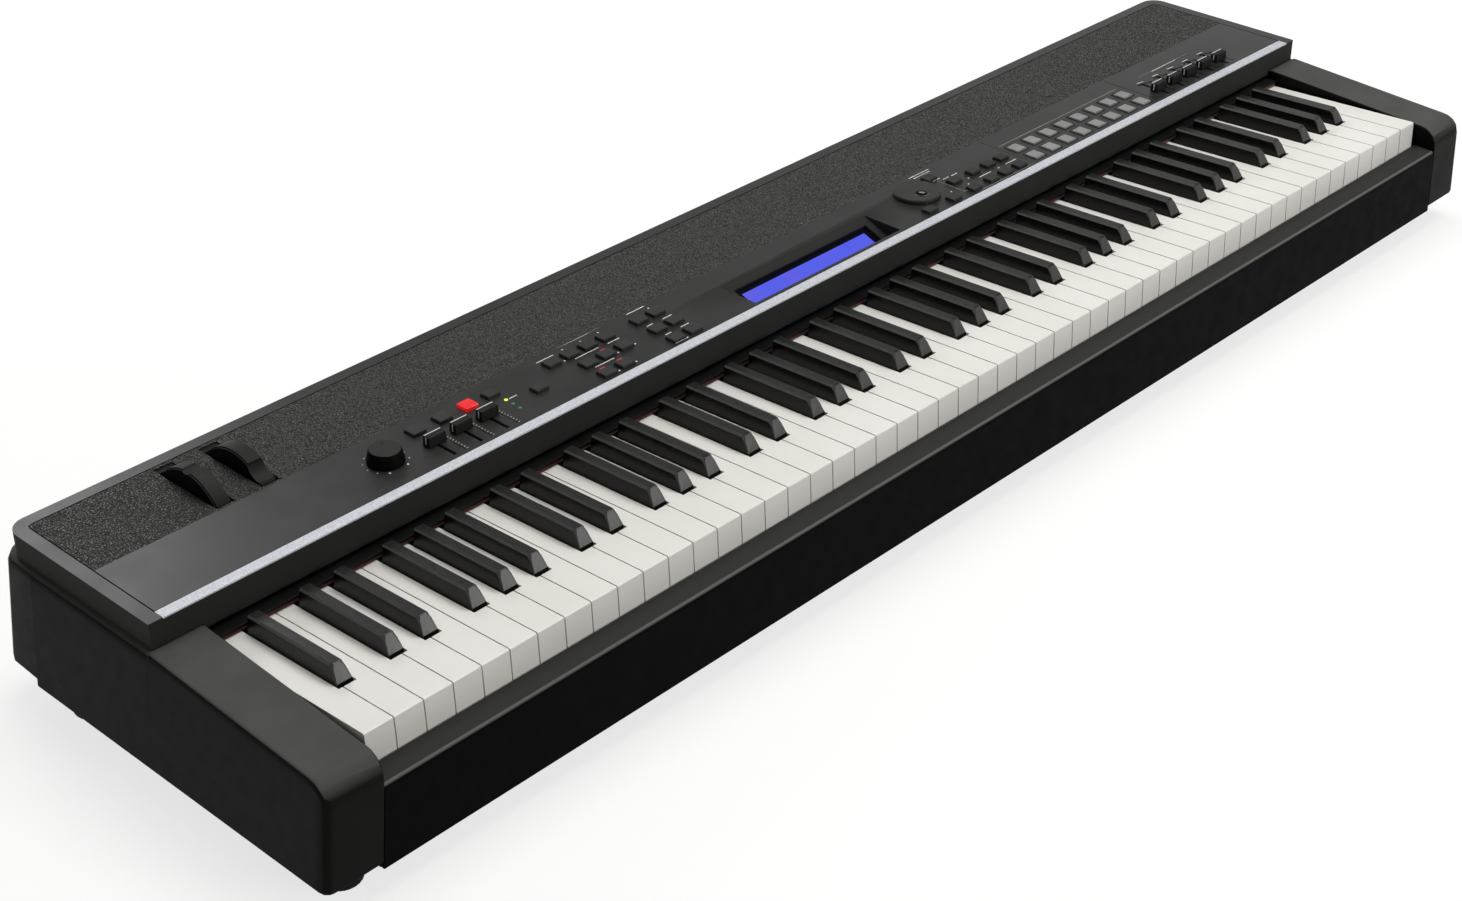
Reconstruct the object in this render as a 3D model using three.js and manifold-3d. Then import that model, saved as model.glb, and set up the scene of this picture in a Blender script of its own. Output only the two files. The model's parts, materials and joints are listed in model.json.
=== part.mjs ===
// A stage piano with eighty-eight hinged keys, a metal-fronted control lid and leaning end blocks.
// Millimetres. X runs along the keyboard to the treble end, Y from the player to the rear, Z up.
// The feet stand on Z = 0 and the middle of the footprint is at X = 0, Y = 0.

import * as THREE from "three";
import { mergeVertices } from "three/addons/utils/BufferGeometryUtils.js";
import Module from "manifold-3d";

const wasm = await Module();
wasm.setup();

// Overall sizes and levels: the pitch and the number of the white keys set the length
const KEY_PITCH = 23.5;
const WHITE_KEYS = 52;
const KEY_SIDE_GAP = 1.2;
const BLOCK_HALF_INSIDE = KEY_PITCH * WHITE_KEYS / 2 + KEY_SIDE_GAP;
const BLOCK_WIDTH = 53.8;
const HALF_LENGTH = BLOCK_HALF_INSIDE + BLOCK_WIDTH;
const HALF_DEPTH = 176;
const FOOT_HEIGHT = 25;
const TRAY_BOTTOM_Z = 19.6;
const LEDGE_Z = 110;
const LID_RISE = 20;
const LID_TOP_Z = LEDGE_Z + LID_RISE;
const SEAT_GAP = 0.3;
const RUNNING_GAP = 0.4;
const WELD_DISTANCE = 0.0001;
const SHEET = 1.5;
const BORE_SEGMENTS = 12;
const ROUND_SEGMENTS = 24;
const WHEEL_SEGMENTS = 40;

// End blocks: a shape with straight sides that is then leaned outward toward its bottom
const BLOCK_LEAN_SHARE = 0.108;
const BLOCK_REAR_LEAN_SHARE = 0.038;
const BLOCK_FRONT_RADIUS = 17;
const BLOCK_FRONT_EDGE_RADIUS = 6;
const BLOCK_REAR_RADIUS = 26;
const BLOCK_TOP_RADIUS = 4;
const BLOCK_SMALL_EDGE = 1.2;
const BLOCK_FRONT_DROP = 7.8;
const BLOCK_FRONT_TOP_Z = LEDGE_Z - BLOCK_FRONT_DROP;
const BLOCK_SLOPE_END_RISE = 1.3;
const BLOCK_SLOPE_END_Z = LEDGE_Z + BLOCK_SLOPE_END_RISE;
const BLOCK_SLOPE_END_Y = -0.6;
const BLOCK_STEP_REACH = 48;
const BLOCK_STEP_Y = HALF_DEPTH - BLOCK_STEP_REACH;
const BLOCK_STEP_RISE = 5.5;
const BLOCK_REAR_INSET = 3;
const BLOCK_REAR_Y = HALF_DEPTH - BLOCK_REAR_INSET;
const BLOCK_ARC_STEPS = 5;

// Lid
const LID_SIDE_INSET = 15;
const LID_HALF_LENGTH = HALF_LENGTH - LID_SIDE_INSET;
const LID_REAR_INSET = 12.8;
const LID_REAR_Y = HALF_DEPTH - LID_REAR_INSET;
const LID_PLATE = 3;
const LID_FRONT_Y = 1.5;
const LID_REAR_RADIUS = 15;
const LID_CORNER_STEPS = 6;
const FASCIA_HEIGHT = 23.5;
const GROOVE_SIDE_INSET = 11;
const GROOVE_REAR_INSET = 10.7;
const GROOVE_HALF_LENGTH = LID_HALF_LENGTH - GROOVE_SIDE_INSET;
const GROOVE_REAR_Y = LID_REAR_Y - GROOVE_REAR_INSET;
const GROOVE_WIDTH = 1;
const GROOVE_DEPTH = 0.8;
const GROOVE_CORNER_RADIUS = 4;
const STRIP_HALF_LENGTH = GROOVE_HALF_LENGTH;
const STRIP_DEPTH = 9;
const STRIP_THICKNESS = 1.4;

// Tilted display recess
const RECESS_HALF_LENGTH = 86;
const RECESS_FRONT_Y = 14;
const RECESS_REAR_Y = 53.3;
const RECESS_DROP = 14.5;
const RECESS_WALL = 2.5;
const WINDOW_HALF_LENGTH = 78;
const WINDOW_REAR_RUN = 9.5;
const WINDOW_FRONT_RUN = 37;
const DISPLAY_HALF_LENGTH = 82;
const DISPLAY_REAR_RUN = 6;
const DISPLAY_FRONT_RUN = 39;
const DISPLAY_THICKNESS = 5;

// Keyboard: the key plane falls toward the rear, and rises to level when a key is pressed
const KEY_SETBACK = 22;
const KEY_FRONT_Y = KEY_SETBACK - HALF_DEPTH;
const KEY_FRONT_DROP = 5;
const KEY_FRONT_Z = LEDGE_Z - KEY_FRONT_DROP;
const KEY_TILT = THREE.MathUtils.degToRad(2.63);
const KEY_GAP = 1;
const KEY_SKIRT = 27;
const KEY_SKIRT_RUN = 14;
const KEY_BODY = 20;
const KEY_FRONT_EDGE = 1.4;
const WHITE_FACE_RUN = -KEY_FRONT_Y - KEY_GAP;
const TAIL_DROP = 6;
const NOTCH_WIDTH = 14;
const NOTCH_RUN = 48.2;
const NOTCH_CLEARANCE = 2.8;
const HINGE_REAR_INSET = 101.2;
const HINGE_SPACING = 10;
const WHITE_HINGE_RUN = LID_REAR_Y - HINGE_REAR_INSET - KEY_FRONT_Y;
const BLACK_HINGE_RUN = WHITE_HINGE_RUN + HINGE_SPACING;
const RAIL_HALF_RUN = 3;
const RAIL_HEIGHT = 8;
const BLACK_TAIL_WIDTH = 11;
const BLACK_TAIL_BOTTOM = 18;
const BLACK_BASE_WIDTH = 12.6;
const BLACK_TOP_WIDTH = 9.8;
const BLACK_TOP_EDGE = 1.3;
const BLACK_FRONT_RUN = NOTCH_RUN + NOTCH_CLEARANCE;
const BLACK_CAP_SETBACK = 12;
const BLACK_CAP_END_RUN = WHITE_FACE_RUN - BLACK_CAP_SETBACK;
const BLACK_CAP_HEIGHT = 13;
const BLACK_TAIL_TOP = 3;
const BLACK_FRONT_RUNS = [0, 4.4, 5.8, 7.4];
const BLACK_FRONT_HEIGHTS = [1.2, 9.5, 12.2, 13];
const BLACK_FRONT_EDGES = [0.6, 1.3, 2.6, 1.6];
const BLACK_LIP = 2;
const BLACK_TOE_SETBACK = 2.5;
// Black keys of an octave that starts on C: number of the white key to the left, and shift from its edge
const OCTAVE_BLACKS = [[0, -2.4], [1, 2.4], [3, -3.6], [4, 0], [5, 3.6]];
const OCTAVE_NAMES = ["C", "D", "E", "F", "G", "A", "B"];
const OCTAVE_WHITES = 7;
const FIRST_C = 2;
const HINGED_FIRST_WHITE = 21;
const HINGED_LAST_WHITE = 29;

// Felt, chassis, rail and tray
const FELT_FRONT_Y = -8;
const FELT_REAR_Y = -1;
const FELT_CLEARANCE = 0.6;
const FELT_THICKNESS = 2.4;
const CARRIER_THICKNESS = 1.7;
const FELT_BOTTOM_Z = KEY_FRONT_Z - WHITE_FACE_RUN * Math.sin(KEY_TILT) + FELT_CLEARANCE;
const FELT_TOP_Z = FELT_BOTTOM_Z + FELT_THICKNESS;
const CARRIER_TOP_Z = FELT_TOP_Z + SEAT_GAP + CARRIER_THICKNESS;
const CARRIER_REAR_Y = 6;
const CHASSIS_FRONT_SETBACK = 4;
const CHASSIS_REAR_REACH = 6;
const CHASSIS_SIDE_GAP = 4.2;
const CHASSIS_FRONT_Y = KEY_FRONT_Y + CHASSIS_FRONT_SETBACK;
const CHASSIS_REAR_Y = KEY_FRONT_Y + BLACK_HINGE_RUN + CHASSIS_REAR_REACH;
const CHASSIS_HALF_LENGTH = BLOCK_HALF_INSIDE - CHASSIS_SIDE_GAP;
const CHASSIS_FLANGE = 14;
const RAIL_KEY_GAP = 2;
const RAIL_REAR_Y = KEY_FRONT_Y - RAIL_KEY_GAP;
const RAIL_TOP_DROP = 28;
const RAIL_TOP_Z = LEDGE_Z - RAIL_TOP_DROP;
const RAIL_EDGE_INSET = 2;
const RAIL_EDGE_Y = RAIL_EDGE_INSET - HALF_DEPTH;
const RAIL_EDGE_DROP = 0.5;
const RAIL_SECOND_EDGE_DROP = 4;
const RAIL_WALL = 3;
const TRAY_WALL = 3;
const TRAY_FRONT_WALL = 40;
const TRAY_SIDE_WALL = 10;
const FOOT_RADIUS = 14.5;
const FOOT_EDGE = 2;
const FRONT_FOOT_INSET = [35, 32];
const REAR_FOOT_INSET = [29, 66];

// Bender wheels
const WHEEL_SIDE_INSET = 116;
const WHEEL_SPACING = 37.2;
const PITCH_WHEEL_X = WHEEL_SIDE_INSET - LID_HALF_LENGTH;
const MODULATION_WHEEL_X = PITCH_WHEEL_X + WHEEL_SPACING;
const WHEEL_RADIUS = 38;
const WHEEL_WIDTH = 13;
const WHEEL_REAR_INSET = 52;
const WHEEL_DROP = 23.5;
const WHEEL_Y = LID_REAR_Y - WHEEL_REAR_INSET;
const WHEEL_Z = LID_TOP_Z - WHEEL_DROP;
const WHEEL_EDGE = 1;
const WHEEL_BORE_RADIUS = 4.4;
const AXLE_RADIUS = 4;
const SLOT_WIDTH = 15.3;
const SLOT_HALF_LENGTH = 33.3;
const SLOT_FRONT_Y = WHEEL_Y - SLOT_HALF_LENGTH;
const SLOT_REAR_Y = WHEEL_Y + SLOT_HALF_LENGTH;
const SLOT_NOTCH_LENGTH = 5;
const SLOT_NOTCH_DEPTH = 1.2;
const REST_GROOVE_RADIUS = 5;
const REST_GROOVE_OFFSET = 2.4;
const REST_GROOVE_ANGLE = THREE.MathUtils.degToRad(88);
const GRIP_RADIUS = 12;
const GRIP_OFFSET = 8;
const GRIP_ANGLE = THREE.MathUtils.degToRad(128);
const BRACKET_WALL = 3;
const BRACKET_HALF_DEPTH = 14;
const BRACKET_DROP = 16;
const BRACKET_TOP_Z = LID_TOP_Z - BRACKET_DROP;
const BRACKET_SPREAD_SHARE = 0.86;

// Knob, dial, faders and buttons
const BOARD_DROP = 12.5;
const BOARD_TOP_Z = LID_TOP_Z - BOARD_DROP;
const BOARD = 1.6;
const BOARD_FRONT_Y = 6;
const BOARD_REAR_Y = 76;
const POST_RADIUS = 3;
const POST_INSET = 5;
const LEFT_BOARD_X = [-452, -128];
const RIGHT_BOARD_X = [118, 590];
const KNOB_X = -427.2;
const KNOB_Y = 42.7;
const KNOB_TOP_RADIUS = 11.6;
const KNOB_BASE_RADIUS = 13.6;
const KNOB_HEIGHT = 10.5;
const KNOB_SKIRT = 2;
const KNOB_DOT_RADIUS = 1.1;
const KNOB_DOT_SHIFT = [2.7, 6.2];
const KNOB_DOT_DEPTH = 0.4;
const SHAFT_RADIUS = 3;
const SHAFT_DROP = 11.5;
const SHAFT_BOTTOM_Z = LID_TOP_Z - SHAFT_DROP;
const ENCODER_RADIUS = 7;
const DIAL_X = 145.5;
const DIAL_Y = 46;
const DIAL_RADIUS = 20;
const DIAL_HEIGHT = 4;
const DIAL_EDGE = 0.8;
const DIAL_GAP = 0.6;
const DIMPLE_RADIUS = 6.2;
const DIMPLE_SHIFT = [-2.6, -7];
const DIMPLE_DEPTH = 1.8;
const DISH_REACH_SHARE = 1.1;
const DISH_STEPS = 4;
const PART_COLUMNS_X = [-388.3, -364.1, -339.9];
const PART_FADER_Y = 36.5;
const EQ_FIRST_X = 465;
const EQ_PITCH = 24;
const EQ_FADERS = 5;
const EQ_FADER_Y = 26;
const FADER_SLOT_WIDTH = 2;
const FADER_SLOT_FRONT_Y = 14.6;
const FADER_SLOT_REAR_Y = 45.6;
const FADER_CAP_WIDTH = 16.2;
const FADER_CAP_DEPTH = 7.5;
const FADER_CAP_HEIGHT = 8;
const FADER_CAP_EDGE = 0.4;
const FADER_FLARE = 0.5;
const FADER_STEM_WIDTH = 1.2;
const FADER_STEM_DEPTH = 4;
const FADER_HOUSING_HALF = 5;
const FADER_HOUSING_HEIGHT = 4.5;
const FADER_CHANNEL_HALF = 1.2;
const BUTTON_HEIGHT = 2.6;
const BUTTON_EDGE = 0.5;
const CATEGORY_HEIGHT = 1.2;
const STEM_HALF = 3;
const STEM_DROP = 11.1;
const FLANGE_DROP = 4.4;
const FLANGE_THICKNESS = 2;
const STEM_BOTTOM_Z = LID_TOP_Z - STEM_DROP;
const FLANGE_HIGH_Z = LID_TOP_Z - FLANGE_DROP;
const FLANGE_LOW_Z = FLANGE_HIGH_Z - FLANGE_THICKNESS;
const FLANGE_OVERHANG = 1.2;
const PART_BUTTON = [11.5, 11.3];
const PART_BUTTON_Y = 57.5;
const SMALL_BUTTON = [11.5, 9];
const GROUP_BUTTON = [12.6, 10];
const CATEGORY_BUTTON = [12.5, 13.2];
const PART_SELECT_PLACE = [-318.4, 57.6];
const SLIDER_FUNCTION_PLACE = [-288.6, 38.3];
const GROUP_ROWS_Y = [58.6, 38.9, 19.2];
const NINE_COLUMNS_X = [-257.3, -239.3, -221.2, -202.9];
const NINE_PLACES = [[0, 0], [1, 0], [2, 0], [3, 0], [1, 1], [2, 1], [3, 1], [1, 2], [2, 2]];
const SIX_COLUMNS_X = [-167.8, -149.9];
const SIX_PLACES = [[0, 0], [1, 0], [0, 1], [1, 1], [0, 2], [1, 2]];
const NAVIGATION_PLACES = [
  [174.8, 57.2], [186, 39], [211, 39], [231.2, 39], [249.5, 39],
  [129, 18.6], [160.3, 18.6], [187.3, 18.6], [210.6, 18.6], [229.6, 18.6], [248.8, 18.6],
];
const CATEGORY_FIRST_X = 275.4;
const CATEGORY_PITCH = 22.4;
const CATEGORY_COLUMNS = 8;
const CATEGORY_ROWS_Y = [42.2, 22.2];

// Rear panel, sockets and inner boards
const REAR_PANEL_INSET = 6;
const REAR_PANEL_Y = LID_REAR_Y - REAR_PANEL_INSET;
const REAR_PANEL = 2.2;
const REAR_FACE_Y = REAR_PANEL_Y + REAR_PANEL;
const SOCKET_DROP = 40;
const SOCKET_Z = LEDGE_Z - SOCKET_DROP;
const BAND_HALF_HEIGHT = 16;
const JACK_X = [56, 356];
const JACK_BODY_DEPTH = 28;
const PHONE_SOCKETS_X = [74, 102, 130, 158, 186, 214];
const PHONE_RADIUS = 3.3;
const PHONE_DEPTH = 22;
const ROUND_SOCKETS_X = [246, 274];
const ROUND_SOCKET_RADIUS = 7.4;
const ROUND_SOCKET_DEPTH = 9;
const SQUARE_SOCKETS = [[304, 8.6, 8], [330, 13, 6]];
const SQUARE_SOCKET_DEPTH = 12;
const INLET_X = 520;
const INLET_HALF_LENGTH = 40;
const INLET_LEFT_X = 476;
const INLET_BODY_DEPTH = 22;
const INLET_FACE_RISE = 1.5;
const INLET_FACE_EDGE = 4;
const INLET_SOCKET_X = 505;
const INLET_SOCKET_HALF = [12, 8];
const INLET_SOCKET_DEPTH = 14;
const INLET_BLADE = [2, 5, 10];
const INLET_BLADES = [[-7, 1.5], [7, 1.5], [0, -1.5]];
const ROCKER_X = 542;
const ROCKER_HALF = [7, 10];
const ROCKER_POCKET_DEPTH = 12;
const ROCKER_HALF_FACE = 9;
const ROCKER_RISE = 2.4;
const ROCKER_VALLEY = 0.4;
const ROCKER_AXLE_DEPTH = 2;
const ROCKER_BODY = 4;
const MAIN_BOARD_X = [80, 460];
const MAIN_BOARD_INSETS = [82, 42];
const MAIN_BOARD_RISE = 8.2;
const CHIP_SIZES = [[22, 22], [14, 20], [20, 14], [30, 12], [12, 30]];
const CHIP_HEIGHT = 2.6;

// Helpers

const extrudedAlongX = new THREE.Matrix4().set(0, 0, 1, 0, 1, 0, 0, 0, 0, 1, 0, 0, 0, 0, 0, 1);

function solid(geometry) {
  const bare = geometry.clone();
  bare.deleteAttribute("normal");
  bare.deleteAttribute("uv");
  const merged = mergeVertices(bare, WELD_DISTANCE);
  return new wasm.Manifold(new wasm.Mesh({
    numProp: 3,
    vertProperties: new Float32Array(merged.attributes.position.array),
    triVerts: new Uint32Array(merged.index.array),
  }));
}

function geometryOf(body) {
  const mesh = body.getMesh();
  const geometry = new THREE.BufferGeometry();
  geometry.setAttribute("position", new THREE.BufferAttribute(new Float32Array(mesh.vertProperties), 3));
  geometry.setIndex(new THREE.BufferAttribute(new Uint32Array(mesh.triVerts), 1));
  const faceted = geometry.toNonIndexed();
  faceted.computeVertexNormals();
  return faceted;
}

function shapeOf(points) {
  return new THREE.Shape(points.map(([across, up]) => new THREE.Vector2(across, up)));
}

// A straight body along X whose outline is given as [y, z] pairs
function alongX(outline, from, to) {
  const geometry = new THREE.ExtrudeGeometry(shapeOf(outline), { depth: to - from, bevelEnabled: false });
  geometry.applyMatrix4(extrudedAlongX);
  geometry.translate(from, 0, 0);
  return solid(geometry);
}

// A straight body along Z whose outline is given as [x, y] pairs
function alongZ(outline, low, high) {
  const geometry = new THREE.ExtrudeGeometry(shapeOf(outline), { depth: high - low, bevelEnabled: false });
  geometry.translate(0, 0, low);
  return solid(geometry);
}

function box(x, y, z) {
  const geometry = new THREE.BoxGeometry(x[1] - x[0], y[1] - y[0], z[1] - z[0]);
  geometry.translate((x[0] + x[1]) / 2, (y[0] + y[1]) / 2, (z[0] + z[1]) / 2);
  return solid(geometry);
}

function around(centre, half) {
  return [centre - half, centre + half];
}

function roundAlongZ(x, y, radius, low, high, segments) {
  const geometry = new THREE.CylinderGeometry(radius, radius, high - low, segments);
  geometry.rotateX(Math.PI / 2);
  geometry.translate(x, y, (low + high) / 2);
  return solid(geometry);
}

function roundAlongX(y, z, radius, from, to, segments) {
  const geometry = new THREE.CylinderGeometry(radius, radius, to - from, segments);
  geometry.rotateZ(Math.PI / 2);
  geometry.translate((from + to) / 2, y, z);
  return solid(geometry);
}

function roundAlongY(x, z, radius, from, to, segments) {
  const geometry = new THREE.CylinderGeometry(radius, radius, to - from, segments);
  geometry.translate(x, (from + to) / 2, z);
  return solid(geometry);
}

// A body of revolution about a vertical axis, its profile given as [radius, z] pairs from axis to axis
function turned(x, y, profile, segments) {
  const geometry = new THREE.LatheGeometry(
    profile.map(([radius, z]) => new THREE.Vector2(radius, z)), segments);
  geometry.rotateX(Math.PI / 2);
  geometry.translate(x, y, 0);
  return solid(geometry);
}

function together(bodies) {
  return bodies.reduce((sum, body) => sum.add(body));
}

// A closed body through rings of equal point count; each ring runs anticlockwise seen from the first end
function loft(rings) {
  const count = rings[0].length;
  const faces = [];
  for (let step = 0; step + 1 < rings.length; step += 1) {
    for (let corner = 0; corner < count; corner += 1) {
      const next = (corner + 1) % count;
      const near = step * count;
      const far = near + count;
      faces.push(near + corner, far + corner, near + next);
      faces.push(near + next, far + corner, far + next);
    }
  }
  const last = (rings.length - 1) * count;
  for (let corner = 1; corner + 1 < count; corner += 1) {
    faces.push(0, corner, corner + 1);
    faces.push(last, last + corner + 1, last + corner);
  }
  const geometry = new THREE.BufferGeometry();
  geometry.setAttribute("position", new THREE.Float32BufferAttribute(rings.flat(2), 3));
  geometry.setIndex(faces);
  return solid(geometry);
}

// Corner points of a quarter circle between two angles
function arc(centreX, centreY, radius, fromAngle, toAngle, steps) {
  const points = [];
  for (let step = 0; step <= steps; step += 1) {
    const angle = THREE.MathUtils.lerp(fromAngle, toAngle, step / steps);
    points.push([centreX + radius * Math.cos(angle), centreY + radius * Math.sin(angle)]);
  }
  return points;
}

// Lid outline in plan: square corners at the front and round corners at the rear
function lidOutline(halfLength, frontY, rearY, radius, steps) {
  const centreX = halfLength - radius;
  const centreY = rearY - radius;
  return [
    [-halfLength, frontY],
    [halfLength, frontY],
    ...arc(centreX, centreY, radius, 0, Math.PI / 2, steps),
    ...arc(-centreX, centreY, radius, Math.PI / 2, Math.PI, steps),
  ];
}

// Inner faces of the end blocks at a level
function blockInside(level) {
  return BLOCK_HALF_INSIDE + BLOCK_LEAN_SHARE * (LEDGE_Z - level);
}

// The room between the end blocks, less a running gap at each side
function roomBetweenBlocks(gap) {
  const low = 0;
  const outline = [
    [-blockInside(low) + gap, low],
    [blockInside(low) - gap, low],
    [blockInside(LID_TOP_Z) - gap, LID_TOP_Z],
    [-blockInside(LID_TOP_Z) + gap, LID_TOP_Z],
  ];
  const depth = HALF_DEPTH * 2;
  const geometry = new THREE.ExtrudeGeometry(shapeOf(outline), { depth, bevelEnabled: false });
  geometry.rotateX(Math.PI / 2);
  geometry.translate(0, HALF_DEPTH, 0);
  return solid(geometry);
}

// End blocks

function cornerInset(distance, radius) {
  const reach = Math.min(radius - distance, radius);
  if (reach <= 0) return 0;
  return radius - Math.sqrt(radius * radius - reach * reach);
}

function blockRing(y, top) {
  const outside = HALF_LENGTH - BLOCK_LEAN_SHARE * (LEDGE_Z - FOOT_HEIGHT)
    - cornerInset(y + HALF_DEPTH, BLOCK_FRONT_EDGE_RADIUS)
    - cornerInset(BLOCK_REAR_Y - y, BLOCK_REAR_RADIUS);
  const bottom = y > BLOCK_STEP_Y ? FOOT_HEIGHT + BLOCK_STEP_RISE : FOOT_HEIGHT;
  const shoulder = BLOCK_TOP_RADIUS * (1 - Math.SQRT1_2);
  return [
    [BLOCK_HALF_INSIDE, y, bottom],
    [outside - BLOCK_SMALL_EDGE, y, bottom],
    [outside, y, bottom + BLOCK_SMALL_EDGE],
    [outside, y, top - BLOCK_TOP_RADIUS],
    [outside - shoulder, y, top - shoulder],
    [outside - BLOCK_TOP_RADIUS, y, top],
    [BLOCK_HALF_INSIDE + BLOCK_SMALL_EDGE, y, top],
    [BLOCK_HALF_INSIDE, y, top - BLOCK_SMALL_EDGE],
  ];
}

function blockRings() {
  const centreY = BLOCK_FRONT_RADIUS - HALF_DEPTH;
  const centreZ = BLOCK_FRONT_TOP_Z - BLOCK_FRONT_RADIUS;
  const rings = arc(centreY, centreZ, BLOCK_FRONT_RADIUS, Math.PI, Math.PI / 2, BLOCK_ARC_STEPS)
    .map(([y, top]) => blockRing(y, top));
  rings.push(blockRing(BLOCK_SLOPE_END_Y, BLOCK_SLOPE_END_Z));
  rings.push(blockRing(BLOCK_SLOPE_END_Y + SEAT_GAP, LEDGE_Z));
  rings.push(blockRing(BLOCK_STEP_Y, LEDGE_Z));
  rings.push(blockRing(BLOCK_STEP_Y + SEAT_GAP, LEDGE_Z));
  for (let step = 1; step <= BLOCK_ARC_STEPS; step += 1) {
    const angle = Math.PI / 2 * step / BLOCK_ARC_STEPS;
    const run = BLOCK_REAR_RADIUS * Math.sin(angle);
    rings.push(blockRing(BLOCK_REAR_Y - BLOCK_REAR_RADIUS + run, LEDGE_Z));
  }
  return rings;
}

function rightEndBlock() {
  const rings = blockRings();
  const rearRun = BLOCK_REAR_Y - BLOCK_STEP_Y;
  for (const ring of rings) {
    for (const point of ring) {
      const below = LEDGE_Z - point[2];
      const rearShare = THREE.MathUtils.clamp((point[1] - BLOCK_STEP_Y) / rearRun, 0, 1);
      point[0] += BLOCK_LEAN_SHARE * below;
      point[1] += BLOCK_REAR_LEAN_SHARE * below * rearShare;
    }
  }
  return loft(rings);
}

// Lid

// A point on the display recess floor: run down the slope from its rear edge, and rise off the floor
function recessPoint(run, rise) {
  const slope = Math.atan2(RECESS_DROP, RECESS_REAR_Y - RECESS_FRONT_Y);
  return [
    RECESS_REAR_Y - run * Math.cos(slope) - rise * Math.sin(slope),
    LID_TOP_Z - run * Math.sin(slope) + rise * Math.cos(slope),
  ];
}

function recessTray() {
  const run = Math.hypot(RECESS_DROP, RECESS_REAR_Y - RECESS_FRONT_Y);
  const low = recessPoint(run, -RECESS_WALL);
  return alongX([
    [RECESS_FRONT_Y - RECESS_WALL, LID_TOP_Z - LID_PLATE / 2],
    [RECESS_FRONT_Y - RECESS_WALL, low[1]],
    low,
    recessPoint(0, -RECESS_WALL),
    [RECESS_REAR_Y, LID_TOP_Z - LID_PLATE / 2],
  ], -RECESS_HALF_LENGTH - RECESS_WALL, RECESS_HALF_LENGTH + RECESS_WALL);
}

function recessHollow() {
  return alongX([
    [RECESS_FRONT_Y, LID_TOP_Z + LID_PLATE],
    [RECESS_FRONT_Y, LID_TOP_Z - RECESS_DROP],
    [RECESS_REAR_Y, LID_TOP_Z],
    [RECESS_REAR_Y, LID_TOP_Z + LID_PLATE],
  ], -RECESS_HALF_LENGTH, RECESS_HALF_LENGTH);
}

function recessWindow() {
  return alongX([
    recessPoint(WINDOW_REAR_RUN, RECESS_WALL * 2),
    recessPoint(WINDOW_REAR_RUN, -RECESS_WALL * 2),
    recessPoint(WINDOW_FRONT_RUN, -RECESS_WALL * 2),
    recessPoint(WINDOW_FRONT_RUN, RECESS_WALL * 2),
  ], -WINDOW_HALF_LENGTH, WINDOW_HALF_LENGTH);
}

function lidGroove() {
  const half = GROOVE_WIDTH / 2;
  const low = LID_TOP_Z - GROOVE_DEPTH;
  const high = LID_TOP_Z + GROOVE_DEPTH;
  const frontY = LID_FRONT_Y + STRIP_DEPTH - STRIP_THICKNESS;
  const outer = lidOutline(
    GROOVE_HALF_LENGTH + half, frontY, GROOVE_REAR_Y + half, GROOVE_CORNER_RADIUS + half, 2);
  const inner = lidOutline(
    GROOVE_HALF_LENGTH - half, frontY - half, GROOVE_REAR_Y - half, GROOVE_CORNER_RADIUS - half, 2);
  return alongZ(outer, low, high).subtract(alongZ(inner, low - half, high + half));
}

function wheelSlot(x) {
  const through = box(
    around(x, SLOT_WIDTH / 2), [SLOT_FRONT_Y, SLOT_REAR_Y], around(LID_TOP_Z, LID_PLATE * 2));
  const notch = box(
    around(x, SLOT_WIDTH / 2),
    [SLOT_REAR_Y - SLOT_NOTCH_LENGTH, SLOT_REAR_Y + SLOT_NOTCH_LENGTH],
    [LID_TOP_Z - SLOT_NOTCH_DEPTH, LID_TOP_Z + LID_PLATE]);
  return through.add(notch);
}

function throughLid(x, y) {
  return box(x, y, around(LID_TOP_Z, LID_PLATE * 2));
}

function buttonHole([x, y], [width, depth]) {
  return throughLid(around(x, width / 2 + RUNNING_GAP), around(y, depth / 2 + RUNNING_GAP));
}

function shaftHole(x, y) {
  return roundAlongZ(x, y, SHAFT_RADIUS + RUNNING_GAP, LEDGE_Z, LID_TOP_Z + LID_PLATE, BORE_SEGMENTS);
}

function faderSlot(x) {
  return throughLid(around(x, FADER_SLOT_WIDTH / 2), [FADER_SLOT_FRONT_Y, FADER_SLOT_REAR_Y]);
}

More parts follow.
